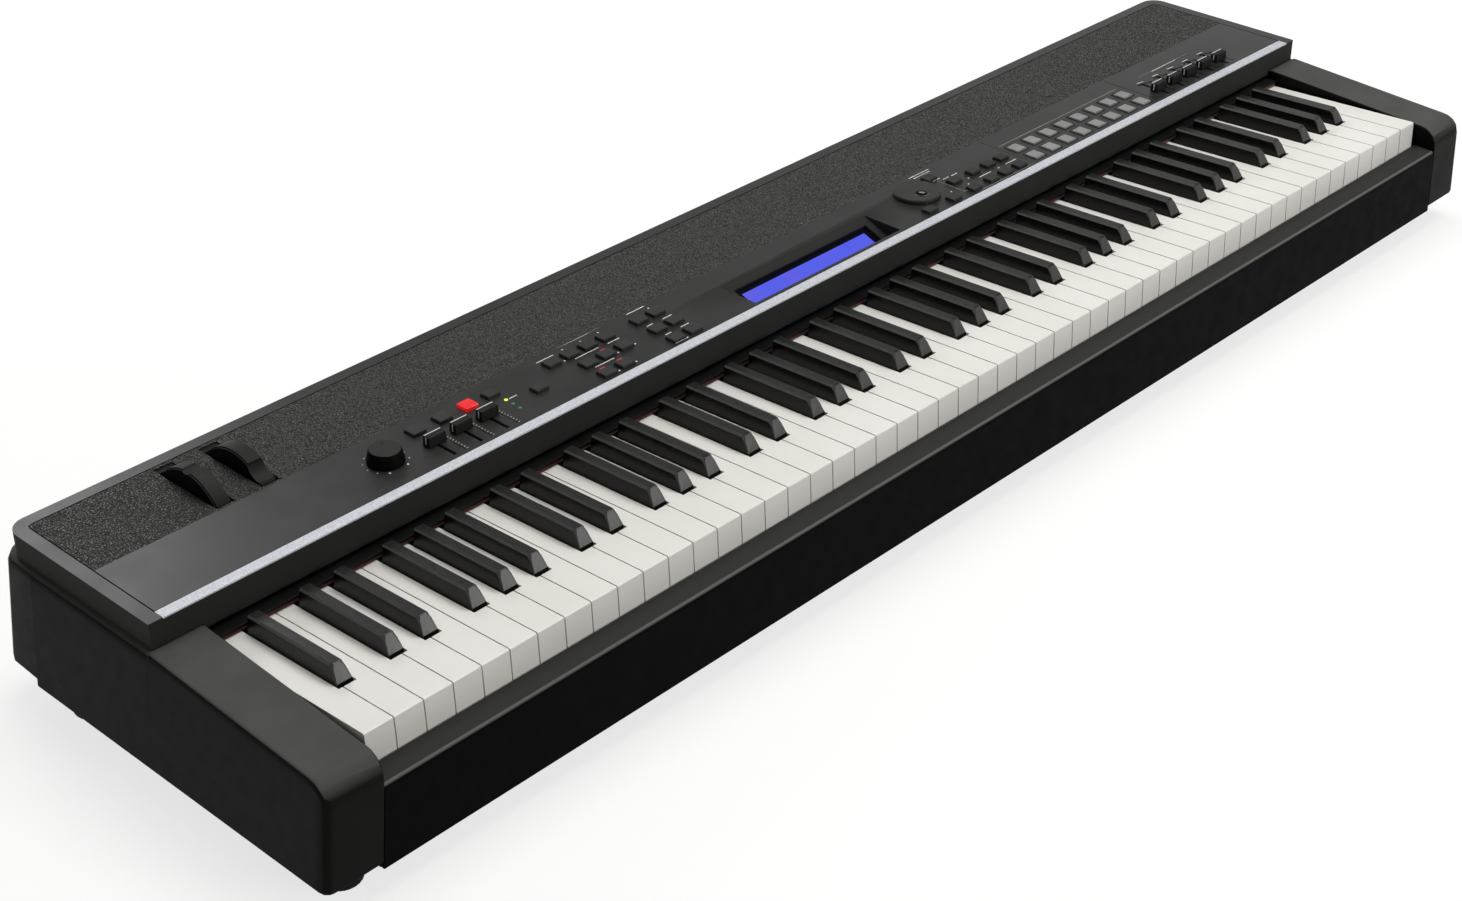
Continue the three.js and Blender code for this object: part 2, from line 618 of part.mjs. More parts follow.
function topCover() {
  const skirtZ = LEDGE_Z + SEAT_GAP;
  const outside = lidOutline(LID_HALF_LENGTH, LID_FRONT_Y, LID_REAR_Y, LID_REAR_RADIUS, LID_CORNER_STEPS);
  const inside = lidOutline(
    LID_HALF_LENGTH - LID_PLATE, LID_FRONT_Y + LID_PLATE, LID_REAR_Y - LID_PLATE,
    LID_REAR_RADIUS - LID_PLATE, LID_CORNER_STEPS);
  const shell = alongZ(outside, skirtZ, LID_TOP_Z)
    .subtract(alongZ(inside, skirtZ - LID_PLATE, LID_TOP_Z - LID_PLATE));
  const fascia = box(
    around(0, BLOCK_HALF_INSIDE - RUNNING_GAP), [LID_FRONT_Y, LID_FRONT_Y + LID_PLATE],
    [LID_TOP_Z - FASCIA_HEIGHT, skirtZ + LID_PLATE]);
  const stripSeat = box(
    around(0, STRIP_HALF_LENGTH + SEAT_GAP), [-LID_PLATE, LID_FRONT_Y + STRIP_DEPTH + SEAT_GAP],
    [LID_TOP_Z - STRIP_THICKNESS - SEAT_GAP, LID_TOP_Z + LID_PLATE]);
  const places = buttonPlaces();
  const cuts = [
    recessHollow(),
    recessWindow(),
    lidGroove(),
    stripSeat,
    wheelSlot(PITCH_WHEEL_X),
    wheelSlot(MODULATION_WHEEL_X),
    shaftHole(KNOB_X, KNOB_Y),
    shaftHole(DIAL_X, DIAL_Y),
    ...faderPlaces().map(({ x }) => faderSlot(x)),
    ...places.map(({ place, size }) => buttonHole(place, size)),
  ];
  return together([shell, fascia, recessTray()]).subtract(together(cuts));
}

function trimStrip() {
  return box(
    around(0, STRIP_HALF_LENGTH), [LID_FRONT_Y, LID_FRONT_Y + STRIP_DEPTH],
    [LID_TOP_Z - STRIP_THICKNESS, LID_TOP_Z]);
}

function displayModule() {
  const top = -RECESS_WALL - SEAT_GAP;
  return alongX([
    recessPoint(DISPLAY_REAR_RUN, top),
    recessPoint(DISPLAY_REAR_RUN, top - DISPLAY_THICKNESS),
    recessPoint(DISPLAY_FRONT_RUN, top - DISPLAY_THICKNESS),
    recessPoint(DISPLAY_FRONT_RUN, top),
  ], -DISPLAY_HALF_LENGTH, DISPLAY_HALF_LENGTH);
}

// Keys, shaped in the key plane: run is the distance behind the white fronts, rise is above the white tops

function inKeyPlane(body) {
  const degrees = THREE.MathUtils.radToDeg(KEY_TILT);
  return body.rotate([-degrees, 0, 0]).translate([0, KEY_FRONT_Y, KEY_FRONT_Z]);
}

function whiteEdge(number) {
  return (number - WHITE_KEYS / 2) * KEY_PITCH;
}

function blackKeys() {
  const keys = [];
  for (let number = 0; number + 1 < WHITE_KEYS; number += 1) {
    const step = (number + OCTAVE_WHITES - FIRST_C) % OCTAVE_WHITES;
    const octave = Math.floor((number + OCTAVE_WHITES - FIRST_C) / OCTAVE_WHITES);
    for (const [left, shift] of OCTAVE_BLACKS) {
      if (left === step) {
        const name = `${OCTAVE_NAMES[step]}_sharp_${octave}`;
        keys.push({ number, x: whiteEdge(number + 1) + shift, name });
      }
    }
  }
  return keys;
}

function whiteName(number) {
  const step = (number + OCTAVE_WHITES - FIRST_C) % OCTAVE_WHITES;
  const octave = Math.floor((number + OCTAVE_WHITES - FIRST_C) / OCTAVE_WHITES);
  return `${OCTAVE_NAMES[step]}_${octave}`;
}

// The part of a white key behind the black key fronts, between the notches on its two sides
function shankEdges(number, blacks) {
  const edges = [whiteEdge(number) + KEY_GAP / 2, whiteEdge(number + 1) - KEY_GAP / 2];
  for (const black of blacks) {
    if (black.number === number - 1) edges[0] = black.x + NOTCH_WIDTH / 2;
    if (black.number === number) edges[1] = black.x - NOTCH_WIDTH / 2;
  }
  return edges;
}

function whiteKey(number, blacks, foot) {
  const head = alongX([
    [0, -KEY_SKIRT],
    [KEY_SKIRT_RUN, -KEY_SKIRT],
    [KEY_SKIRT_RUN + KEY_SKIRT - KEY_BODY, -KEY_BODY],
    [NOTCH_RUN, -KEY_BODY],
    [NOTCH_RUN, 0],
    [KEY_FRONT_EDGE, 0],
    [KEY_FRONT_EDGE * (1 - Math.SQRT1_2), -KEY_FRONT_EDGE * (1 - Math.SQRT1_2)],
    [0, -KEY_FRONT_EDGE],
  ], whiteEdge(number) + KEY_GAP / 2, whiteEdge(number + 1) - KEY_GAP / 2);
  const edges = shankEdges(number, blacks);
  const shank = alongX([
    [NOTCH_RUN - KEY_GAP, -KEY_BODY],
    [WHITE_HINGE_RUN + RAIL_HALF_RUN, -KEY_BODY],
    [WHITE_HINGE_RUN + RAIL_HALF_RUN, -KEY_BODY + TAIL_DROP],
    [WHITE_HINGE_RUN, -TAIL_DROP],
    [WHITE_FACE_RUN, -TAIL_DROP],
    [WHITE_FACE_RUN, 0],
    [NOTCH_RUN - KEY_GAP, 0],
  ], edges[0], edges[1]);
  const body = head.add(shank);
  return foot ? body.add(railFoot(WHITE_HINGE_RUN, edges)) : body;
}

// A short block that joins a key tail to the rail below it
function railFoot(hingeRun, edges) {
  return box(
    edges, around(hingeRun, RAIL_HALF_RUN - SEAT_GAP), [-KEY_BODY - SEAT_GAP * 2, -KEY_BODY + SEAT_GAP]);
}

function hingeRail(hingeRun) {
  return box(
    around(0, whiteEdge(WHITE_KEYS) - KEY_GAP / 2), around(hingeRun, RAIL_HALF_RUN),
    [-KEY_BODY - SEAT_GAP - RAIL_HEIGHT, -KEY_BODY - SEAT_GAP]);
}

function blackRing(x, run, height, edge) {
  const base = BLACK_BASE_WIDTH / 2;
  const topShare = height / BLACK_CAP_HEIGHT;
  const top = THREE.MathUtils.lerp(base, BLACK_TOP_WIDTH / 2, topShare);
  return [
    [x - base, run, -BLACK_TAIL_BOTTOM],
    [x + base, run, -BLACK_TAIL_BOTTOM],
    [x + base, run, 0],
    [x + top, run, height - edge],
    [x + top - edge, run, height],
    [x - top + edge, run, height],
    [x - top, run, height - edge],
    [x - base, run, 0],
  ];
}

function blackKey({ x }, foot) {
  const rings = BLACK_FRONT_RUNS.map(
    (run, step) => blackRing(
      x, BLACK_FRONT_RUN + run, BLACK_FRONT_HEIGHTS[step], BLACK_FRONT_EDGES[step]));
  rings.push(blackRing(x, BLACK_CAP_END_RUN, BLACK_CAP_HEIGHT, BLACK_TOP_EDGE));
  const edges = around(x, BLACK_TAIL_WIDTH / 2);
  const tail = alongX([
    [BLACK_CAP_END_RUN - KEY_GAP, -BLACK_TAIL_BOTTOM],
    [BLACK_HINGE_RUN - RAIL_HALF_RUN, -BLACK_TAIL_BOTTOM],
    [BLACK_HINGE_RUN - RAIL_HALF_RUN, -KEY_BODY],
    [BLACK_HINGE_RUN + RAIL_HALF_RUN, -KEY_BODY],
    [BLACK_HINGE_RUN + RAIL_HALF_RUN, -BLACK_TAIL_BOTTOM + TAIL_DROP],
    [BLACK_HINGE_RUN, -TAIL_DROP - BLACK_TAIL_TOP],
    [WHITE_FACE_RUN, -BLACK_TAIL_TOP],
    [BLACK_CAP_END_RUN - KEY_GAP, -BLACK_TAIL_TOP],
  ], edges[0], edges[1]);
  const underLip = box(
    around(x, BLACK_BASE_WIDTH), [NOTCH_RUN, BLACK_FRONT_RUN + BLACK_TOE_SETBACK],
    [-BLACK_TAIL_BOTTOM * 2, -BLACK_LIP]);
  const body = loft(rings).subtract(underLip).add(tail);
  return foot ? body.add(railFoot(BLACK_HINGE_RUN, edges)) : body;
}

function isHinged(number) {
  return number >= HINGED_FIRST_WHITE && number <= HINGED_LAST_WHITE;
}

function isHingedBlack({ number }) {
  return isHinged(number) && number < HINGED_LAST_WHITE;
}

function whiteKeyBank(blacks) {
  const bodies = [hingeRail(WHITE_HINGE_RUN)];
  for (let number = 0; number < WHITE_KEYS; number += 1) {
    if (!isHinged(number)) bodies.push(whiteKey(number, blacks, true));
  }
  return inKeyPlane(together(bodies));
}

function blackKeyBank(blacks) {
  const fixed = blacks.filter((black) => !isHingedBlack(black)).map((black) => blackKey(black, true));
  return inKeyPlane(together([hingeRail(BLACK_HINGE_RUN), ...fixed]));
}

// Under and round the keys

// The level under a hinge rail, where the chassis carries it
function railBottom(hingeRun) {
  const drop = KEY_BODY + SEAT_GAP + RAIL_HEIGHT;
  const rearRun = hingeRun + RAIL_HALF_RUN;
  return KEY_FRONT_Z - rearRun * Math.sin(KEY_TILT) - drop * Math.cos(KEY_TILT);
}

function keyChassis() {
  const top = railBottom(BLACK_HINGE_RUN) - SEAT_GAP;
  const low = TRAY_BOTTOM_Z + TRAY_WALL + SEAT_GAP;
  return alongX([
    [CHASSIS_FRONT_Y, low],
    [CHASSIS_FRONT_Y + CHASSIS_FLANGE, low],
    [CHASSIS_FRONT_Y + CHASSIS_FLANGE, low + SHEET],
    [CHASSIS_FRONT_Y + SHEET, low + SHEET],
    [CHASSIS_FRONT_Y + SHEET, top - SHEET],
    [CHASSIS_REAR_Y - SHEET, top - SHEET],
    [CHASSIS_REAR_Y - SHEET, low + SHEET],
    [CHASSIS_REAR_Y - CHASSIS_FLANGE, low + SHEET],
    [CHASSIS_REAR_Y - CHASSIS_FLANGE, low],
    [CHASSIS_REAR_Y, low],
    [CHASSIS_REAR_Y, top],
    [CHASSIS_FRONT_Y, top],
  ], -CHASSIS_HALF_LENGTH, CHASSIS_HALF_LENGTH);
}

function keyFelt() {
  return box(
    around(0, BLOCK_HALF_INSIDE - KEY_GAP), [FELT_FRONT_Y, FELT_REAR_Y], [FELT_BOTTOM_Z, FELT_TOP_Z]);
}

function feltCarrier() {
  const strip = box(
    around(0, HALF_LENGTH), [FELT_FRONT_Y, CARRIER_REAR_Y], [FELT_TOP_Z + SEAT_GAP, CARRIER_TOP_Z]);
  return strip.intersect(roomBetweenBlocks(SEAT_GAP));
}

function frontRail() {
  const under = RAIL_TOP_Z - RAIL_WALL;
  const rail = alongX([
    [RAIL_REAR_Y, RAIL_TOP_Z],
    [RAIL_REAR_Y, under],
    [RAIL_WALL - HALF_DEPTH, under],
    [RAIL_WALL - HALF_DEPTH, TRAY_BOTTOM_Z],
    [-HALF_DEPTH, TRAY_BOTTOM_Z],
    [-HALF_DEPTH, RAIL_TOP_Z - RAIL_SECOND_EDGE_DROP],
    [RAIL_EDGE_Y, RAIL_TOP_Z - RAIL_EDGE_DROP],
  ], -HALF_LENGTH, HALF_LENGTH);
  return rail.intersect(roomBetweenBlocks(RUNNING_GAP));
}

function bottomTray() {
  const frontY = RAIL_WALL + SEAT_GAP - HALF_DEPTH;
  const floorZ = TRAY_BOTTOM_Z + TRAY_WALL;
  const length = around(0, HALF_LENGTH);
  const floor = box(length, [frontY, REAR_FACE_Y], [TRAY_BOTTOM_Z, floorZ]);
  const frontWall = box(
    length, [frontY, frontY + TRAY_WALL], [TRAY_BOTTOM_Z, floorZ + TRAY_FRONT_WALL]);
  const rearWall = box(
    length, [REAR_FACE_Y - TRAY_WALL, REAR_FACE_Y], [TRAY_BOTTOM_Z, rearBand()[0] - SEAT_GAP]);
  const sideTop = floorZ + TRAY_SIDE_WALL;
  const sideInside = blockInside(sideTop) - SEAT_GAP - TRAY_WALL;
  const sides = [[sideInside, HALF_LENGTH], [-HALF_LENGTH, -sideInside]].map(
    (x) => box(x, [frontY, REAR_FACE_Y], [TRAY_BOTTOM_Z, sideTop]));
  const footRoom = footPlaces().map(({ x, y }) => roundAlongZ(
    x, y, FOOT_RADIUS + KEY_GAP, 0, floorZ + TRAY_WALL, ROUND_SEGMENTS));
  const body = together([floor, frontWall, rearWall, ...sides]);
  return body.intersect(roomBetweenBlocks(SEAT_GAP)).subtract(together(footRoom));
}

function footPlaces() {
  const front = { x: HALF_LENGTH - FRONT_FOOT_INSET[0], y: FRONT_FOOT_INSET[1] - HALF_DEPTH };
  const rear = { x: HALF_LENGTH - REAR_FOOT_INSET[0], y: HALF_DEPTH - REAR_FOOT_INSET[1] };
  return [
    { name: "foot_front_left", x: -front.x, y: front.y },
    { name: "foot_front_right", x: front.x, y: front.y },
    { name: "foot_rear_left", x: -rear.x, y: rear.y },
    { name: "foot_rear_right", x: rear.x, y: rear.y },
  ];
}

function rubberFoot({ x, y }) {
  const top = FOOT_HEIGHT - SEAT_GAP;
  return turned(x, y, [
    [0, 0],
    [FOOT_RADIUS - FOOT_EDGE, 0],
    [FOOT_RADIUS, FOOT_EDGE],
    [FOOT_RADIUS, top],
    [0, top],
  ], ROUND_SEGMENTS);
}

// Wheels

function onWheelAxis(radius, [from, to], segments) {
  return roundAlongX(WHEEL_Y, WHEEL_Z, radius, from, to, segments);
}

function benderWheel(x) {
  const half = WHEEL_WIDTH / 2;
  const core = onWheelAxis(WHEEL_RADIUS, around(x, half - WHEEL_EDGE), WHEEL_SEGMENTS);
  const cheeks = onWheelAxis(WHEEL_RADIUS - WHEEL_EDGE, around(x, half), WHEEL_SEGMENTS);
  const bore = onWheelAxis(WHEEL_BORE_RADIUS, around(x, WHEEL_WIDTH), BORE_SEGMENTS);
  return core.add(cheeks).subtract(bore);
}

// A round groove across the rim at an angle up from the axis, measured from the rear
function rimGroove(x, radius, offset, angle) {
  const reach = WHEEL_RADIUS + offset;
  return roundAlongX(
    WHEEL_Y + reach * Math.cos(angle), WHEEL_Z + reach * Math.sin(angle), radius,
    x - WHEEL_WIDTH, x + WHEEL_WIDTH, ROUND_SEGMENTS);
}

function pitchWheel() {
  const groove = rimGroove(PITCH_WHEEL_X, REST_GROOVE_RADIUS, REST_GROOVE_OFFSET, REST_GROOVE_ANGLE);
  return benderWheel(PITCH_WHEEL_X).subtract(groove);
}

function modulationWheel() {
  const grip = rimGroove(MODULATION_WHEEL_X, GRIP_RADIUS, GRIP_OFFSET, GRIP_ANGLE);
  return benderWheel(MODULATION_WHEEL_X).subtract(grip);
}

function wheelBracket() {
  const low = TRAY_BOTTOM_Z + TRAY_WALL + SEAT_GAP;
  const spacing = MODULATION_WHEEL_X - PITCH_WHEEL_X;
  const middle = (PITCH_WHEEL_X + MODULATION_WHEEL_X) / 2;
  const depth = around(WHEEL_Y, BRACKET_HALF_DEPTH);
  const cheeks = [-1, 0, 1].map((side) => box(
    around(middle + side * spacing * BRACKET_SPREAD_SHARE, BRACKET_WALL / 2), depth, [low, BRACKET_TOP_Z]));
  const half = spacing * BRACKET_SPREAD_SHARE + BRACKET_WALL / 2;
  const base = box(around(middle, half), depth, [low, low + BRACKET_WALL]);
  const axle = roundAlongX(WHEEL_Y, WHEEL_Z, AXLE_RADIUS, middle - half, middle + half, BORE_SEGMENTS);
  return together([base, axle, ...cheeks]);
}

// Knob, dial, faders and buttons

function volumeKnob() {
  const low = LID_TOP_Z + SEAT_GAP;
  const high = LID_TOP_Z + KNOB_HEIGHT;
  const body = turned(KNOB_X, KNOB_Y, [
    [0, SHAFT_BOTTOM_Z + SHAFT_RADIUS],
    [SHAFT_RADIUS, SHAFT_BOTTOM_Z + SHAFT_RADIUS],
    [SHAFT_RADIUS, low],
    [KNOB_BASE_RADIUS, low],
    [KNOB_BASE_RADIUS, low + KNOB_SKIRT],
    [KNOB_TOP_RADIUS, high - FADER_FLARE],
    [KNOB_TOP_RADIUS - FADER_FLARE, high],
    [0, high],
  ], ROUND_SEGMENTS);
  const dot = roundAlongZ(
    KNOB_X + KNOB_DOT_SHIFT[0], KNOB_Y + KNOB_DOT_SHIFT[1], KNOB_DOT_RADIUS,
    high - KNOB_DOT_DEPTH, high + KNOB_DOT_DEPTH, BORE_SEGMENTS);
  return body.subtract(dot);
}

function dataDial() {
  const low = LID_TOP_Z + DIAL_GAP;
  const high = LID_TOP_Z + DIAL_HEIGHT;
  const body = turned(DIAL_X, DIAL_Y, [
    [0, SHAFT_BOTTOM_Z + SHAFT_RADIUS],
    [SHAFT_RADIUS, SHAFT_BOTTOM_Z + SHAFT_RADIUS],
    [SHAFT_RADIUS, low],
    [DIAL_RADIUS, low],
    [DIAL_RADIUS, high - DIAL_EDGE],
    [DIAL_RADIUS - DIAL_EDGE, high],
    [0, high],
  ], WHEEL_SEGMENTS);
  // A shallow dish is the cap of a large ball that sinks by the dimple's depth
  const ballRadius = (DIMPLE_RADIUS * DIMPLE_RADIUS + DIMPLE_DEPTH * DIMPLE_DEPTH) / (2 * DIMPLE_DEPTH);
  const ball = turned(
    DIAL_X + DIMPLE_SHIFT[0], DIAL_Y + DIMPLE_SHIFT[1],
    dishProfile(ballRadius, high - DIMPLE_DEPTH), ROUND_SEGMENTS);
  return body.subtract(ball);
}

// The lower part of a ball from its lowest point up to just above the surface that it dents
function dishProfile(ballRadius, lowest) {
  const widest = Math.asin(DIMPLE_RADIUS / ballRadius) * DISH_REACH_SHARE;
  const profile = [];
  for (let step = 0; step <= DISH_STEPS; step += 1) {
    const angle = widest * step / DISH_STEPS;
    profile.push([ballRadius * Math.sin(angle), lowest + ballRadius * (1 - Math.cos(angle))]);
  }
  profile.push([0, profile[DISH_STEPS][1]]);
  return profile;
}

function faderPlaces() {
  const places = PART_COLUMNS_X.map((x, step) => ({
    name: `part_fader_${step + 1}`, x, y: PART_FADER_Y,
  }));
  for (let step = 0; step < EQ_FADERS; step += 1) {
    places.push({ name: `equaliser_fader_${step + 1}`, x: EQ_FIRST_X + EQ_PITCH * step, y: EQ_FADER_Y });
  }
  return places;
}

// Four-sided cap: its sides draw in by the flare up to a narrow edge round the top
function cap([x, y], [width, depth], low, high, flare, edge) {
  const levels = [
    [high, flare + edge],
    [high - edge, flare],
    [low, 0],
  ];
  return loft(levels.map(([z, inset]) => {
    const halfX = width / 2 - inset;
    const halfY = depth / 2 - inset;
    return [
      [x - halfX, y - halfY, z],
      [x + halfX, y - halfY, z],
      [x + halfX, y + halfY, z],
      [x - halfX, y + halfY, z],
    ];
  }));
}

function fader({ x, y }) {
  const low = LID_TOP_Z + RUNNING_GAP;
  const high = LID_TOP_Z + FADER_CAP_HEIGHT;
  const body = cap([x, y], [FADER_CAP_WIDTH, FADER_CAP_DEPTH], low, high, FADER_FLARE, FADER_CAP_EDGE);
  const stem = box(
    around(x, FADER_STEM_WIDTH / 2), around(y, FADER_STEM_DEPTH / 2), [STEM_BOTTOM_Z, low + FADER_FLARE]);
  return body.add(stem);
}

function faderHousing({ x }) {
  const y = [FADER_SLOT_FRONT_Y - FADER_STEM_DEPTH, FADER_SLOT_REAR_Y + FADER_STEM_DEPTH];
  const top = BOARD_TOP_Z + FADER_HOUSING_HEIGHT;
  const block = box(around(x, FADER_HOUSING_HALF), y, [BOARD_TOP_Z - BOARD / 2, top]);
  const channel = box(
    around(x, FADER_CHANNEL_HALF), [FADER_SLOT_FRONT_Y, FADER_SLOT_REAR_Y],
    [STEM_BOTTOM_Z - RUNNING_GAP, top + RUNNING_GAP]);
  return block.subtract(channel);
}

function singleButtons() {
  return [
    { name: "split_button", place: [PART_COLUMNS_X[0], PART_BUTTON_Y], size: PART_BUTTON },
    { name: "layer_button", place: [PART_COLUMNS_X[1], PART_BUTTON_Y], size: PART_BUTTON },
    { name: "main_button", place: [PART_COLUMNS_X[2], PART_BUTTON_Y], size: PART_BUTTON },
    { name: "part_select_button", place: PART_SELECT_PLACE, size: SMALL_BUTTON },
    { name: "slider_function_button", place: SLIDER_FUNCTION_PLACE, size: SMALL_BUTTON },
  ];
}

function buttonGroups() {
  const category = [];
  for (const y of CATEGORY_ROWS_Y) {
    for (let column = 0; column < CATEGORY_COLUMNS; column += 1) {
      category.push([CATEGORY_FIRST_X + CATEGORY_PITCH * column, y]);
    }
  }
  return [
    {
      name: "effect_buttons",
      places: NINE_PLACES.map(([column, row]) => [NINE_COLUMNS_X[column], GROUP_ROWS_Y[row]]),
      size: GROUP_BUTTON,
      height: BUTTON_HEIGHT,
    },
    {
      name: "octave_buttons",
      places: SIX_PLACES.map(([column, row]) => [SIX_COLUMNS_X[column], GROUP_ROWS_Y[row]]),
      size: GROUP_BUTTON,
      height: BUTTON_HEIGHT,
    },
    { name: "navigation_buttons", places: NAVIGATION_PLACES, size: SMALL_BUTTON, height: BUTTON_HEIGHT },
    { name: "category_buttons", places: category, size: CATEGORY_BUTTON, height: CATEGORY_HEIGHT },
  ];
}

function buttonPlaces() {
  const grouped = buttonGroups().flatMap(({ places, size }) => places.map((place) => ({ place, size })));
  return [...singleButtons(), ...grouped];
}

function singleButton({ place, size }) {
  const body = cap(place, size, FLANGE_HIGH_Z - BUTTON_EDGE, LID_TOP_Z + BUTTON_HEIGHT, 0, BUTTON_EDGE);
  const flange = box(
    around(place[0], size[0] / 2 + FLANGE_OVERHANG), around(place[1], size[1] / 2 + FLANGE_OVERHANG),
    [FLANGE_LOW_Z, FLANGE_HIGH_Z]);
  const stem = box(
    around(place[0], STEM_HALF), around(place[1], STEM_HALF), [STEM_BOTTOM_Z, FLANGE_LOW_Z + BUTTON_EDGE]);
  return together([body, flange, stem]);
}

// One moulding: caps standing on a common runner plate that hides under the lid
function buttonGroup({ places, size, height }) {
  const caps = places.map(
    (place) => cap(place, size, FLANGE_HIGH_Z - BUTTON_EDGE, LID_TOP_Z + height, 0, BUTTON_EDGE));
  const runners = groupRunners(places, size);
  const inOrder = [...places].sort((one, other) => one[0] - other[0]);
  const stems = [inOrder[0], inOrder[inOrder.length - 1]].map(([x, y]) => box(
    around(x, STEM_HALF), around(y, STEM_HALF), [STEM_BOTTOM_Z, FLANGE_LOW_Z + BUTTON_EDGE]));
  return together([...runners, ...caps, ...stems]);
}

// A plate along each row, joined by one plate across the rows
function groupRunners(places, size) {
  const rows = [...new Set(places.map(([, y]) => y))];
  const plates = rows.map((row) => {
    const inRow = places.filter(([, y]) => y === row).map(([x]) => x);
    const reach = size[0] / 2 + FLANGE_OVERHANG;
    return box(
      [Math.min(...inRow) - reach, Math.max(...inRow) + reach], around(row, size[1] / 2),
      [FLANGE_LOW_Z, FLANGE_HIGH_Z]);
  });
  const shared = sharedColumn(places, rows);
  plates.push(box(
    around(shared, STEM_HALF), [Math.min(...rows), Math.max(...rows)], [FLANGE_LOW_Z, FLANGE_HIGH_Z]));
  return plates;
}

// An X position that lies under every row of a group
function sharedColumn(places, rows) {
  const columns = rows.map((row) => places.filter(([, y]) => y === row).map(([x]) => x));
  const from = Math.max(...columns.map((column) => Math.min(...column)));
  const to = Math.min(...columns.map((column) => Math.max(...column)));
  return (from + to) / 2;
}

function controlBoard(x, faders, encoders) {
  const plate = box(x, [BOARD_FRONT_Y, BOARD_REAR_Y], [BOARD_TOP_Z - BOARD, BOARD_TOP_Z]);
  const low = BOARD_TOP_Z - BOARD / 2;
  const posts = [x[0] + POST_INSET, (x[0] + x[1]) / 2, x[1] - POST_INSET].map((postX) => roundAlongZ(
    postX, BOARD_REAR_Y - POST_INSET, POST_RADIUS, low, LID_TOP_Z - LID_PLATE - SEAT_GAP, BORE_SEGMENTS));
  const housings = faders.map((place) => faderHousing(place));
  const turners = encoders.map(([turnX, turnY]) => roundAlongZ(
    turnX, turnY, ENCODER_RADIUS, low, SHAFT_BOTTOM_Z + SHAFT_RADIUS - SEAT_GAP, BORE_SEGMENTS));
  return together([plate, ...posts, ...housings, ...turners]);
}

// Rear

// The levels of the band of sockets across the rear, between the tray's wall and the rear panel
function rearBand() {
  return around(SOCKET_Z, BAND_HALF_HEIGHT);
}

function rearPanel() {
  const sheet = box(
    around(0, HALF_LENGTH), [REAR_PANEL_Y, REAR_FACE_Y],
    [rearBand()[1] + SEAT_GAP, LID_TOP_Z - LID_PLATE - SEAT_GAP]);
  return sheet.intersect(roomBetweenBlocks(RUNNING_GAP));
}

function jackPanel() {
  const face = box([-HALF_LENGTH, INLET_LEFT_X - SEAT_GAP], [REAR_PANEL_Y, REAR_FACE_Y], rearBand());
  const body = box(JACK_X, [REAR_PANEL_Y - JACK_BODY_DEPTH, REAR_FACE_Y], rearBand());
  const outside = REAR_FACE_Y + REAR_PANEL;
  const phones = PHONE_SOCKETS_X.map((x) => roundAlongY(
    x, SOCKET_Z, PHONE_RADIUS, REAR_FACE_Y - PHONE_DEPTH, outside, BORE_SEGMENTS));
  const rounds = ROUND_SOCKETS_X.map((x) => roundAlongY(
    x, SOCKET_Z, ROUND_SOCKET_RADIUS, REAR_FACE_Y - ROUND_SOCKET_DEPTH, outside, ROUND_SEGMENTS));
  const squares = SQUARE_SOCKETS.map(([x, width, height]) => box(
    around(x, width / 2), [REAR_FACE_Y - SQUARE_SOCKET_DEPTH, outside], around(SOCKET_Z, height / 2)));
  const sockets = together([...phones, ...rounds, ...squares]);
  return face.add(body).intersect(roomBetweenBlocks(RUNNING_GAP)).subtract(sockets);
}

function mainsInlet() {
  const outer = REAR_FACE_Y + INLET_FACE_RISE;
  const face = box([INLET_LEFT_X, HALF_LENGTH], [REAR_PANEL_Y, REAR_FACE_Y], rearBand());
  const body = box(
    around(INLET_X, INLET_HALF_LENGTH), [REAR_PANEL_Y - INLET_BODY_DEPTH, outer],
    around(SOCKET_Z, BAND_HALF_HEIGHT - INLET_FACE_EDGE / 2));
  const socket = box(
    around(INLET_SOCKET_X, INLET_SOCKET_HALF[0]), [outer - INLET_SOCKET_DEPTH, outer + REAR_PANEL],
    around(SOCKET_Z, INLET_SOCKET_HALF[1]));
  const pocket = box(
    around(ROCKER_X, ROCKER_HALF[0] + RUNNING_GAP), [outer - ROCKER_POCKET_DEPTH, outer + REAR_PANEL],
    around(SOCKET_Z, ROCKER_HALF[1] + RUNNING_GAP));
  const floor = outer - INLET_SOCKET_DEPTH;
  const blades = INLET_BLADES.map(([x, z]) => box(
    around(INLET_SOCKET_X + x, INLET_BLADE[0] / 2), [floor - REAR_PANEL, floor + INLET_BLADE[2]],
    around(SOCKET_Z + z, INLET_BLADE[1] / 2)));
  const housing = face.add(body).intersect(roomBetweenBlocks(RUNNING_GAP));
  return housing.subtract(socket.add(pocket)).add(together(blades));
}

// The rocker's two faces meet in a shallow valley, so one half stands out while the other lies in
function powerSwitch() {
  const outer = REAR_FACE_Y + INLET_FACE_RISE;
  const axleY = outer - ROCKER_AXLE_DEPTH;
  return alongX([
    [axleY - ROCKER_BODY, SOCKET_Z],
    [outer, SOCKET_Z - ROCKER_HALF_FACE],
    [outer + ROCKER_VALLEY, SOCKET_Z],
    [outer + ROCKER_RISE, SOCKET_Z + ROCKER_HALF_FACE],
  ], ROCKER_X - ROCKER_HALF[0] + RUNNING_GAP, ROCKER_X + ROCKER_HALF[0] - RUNNING_GAP);
}

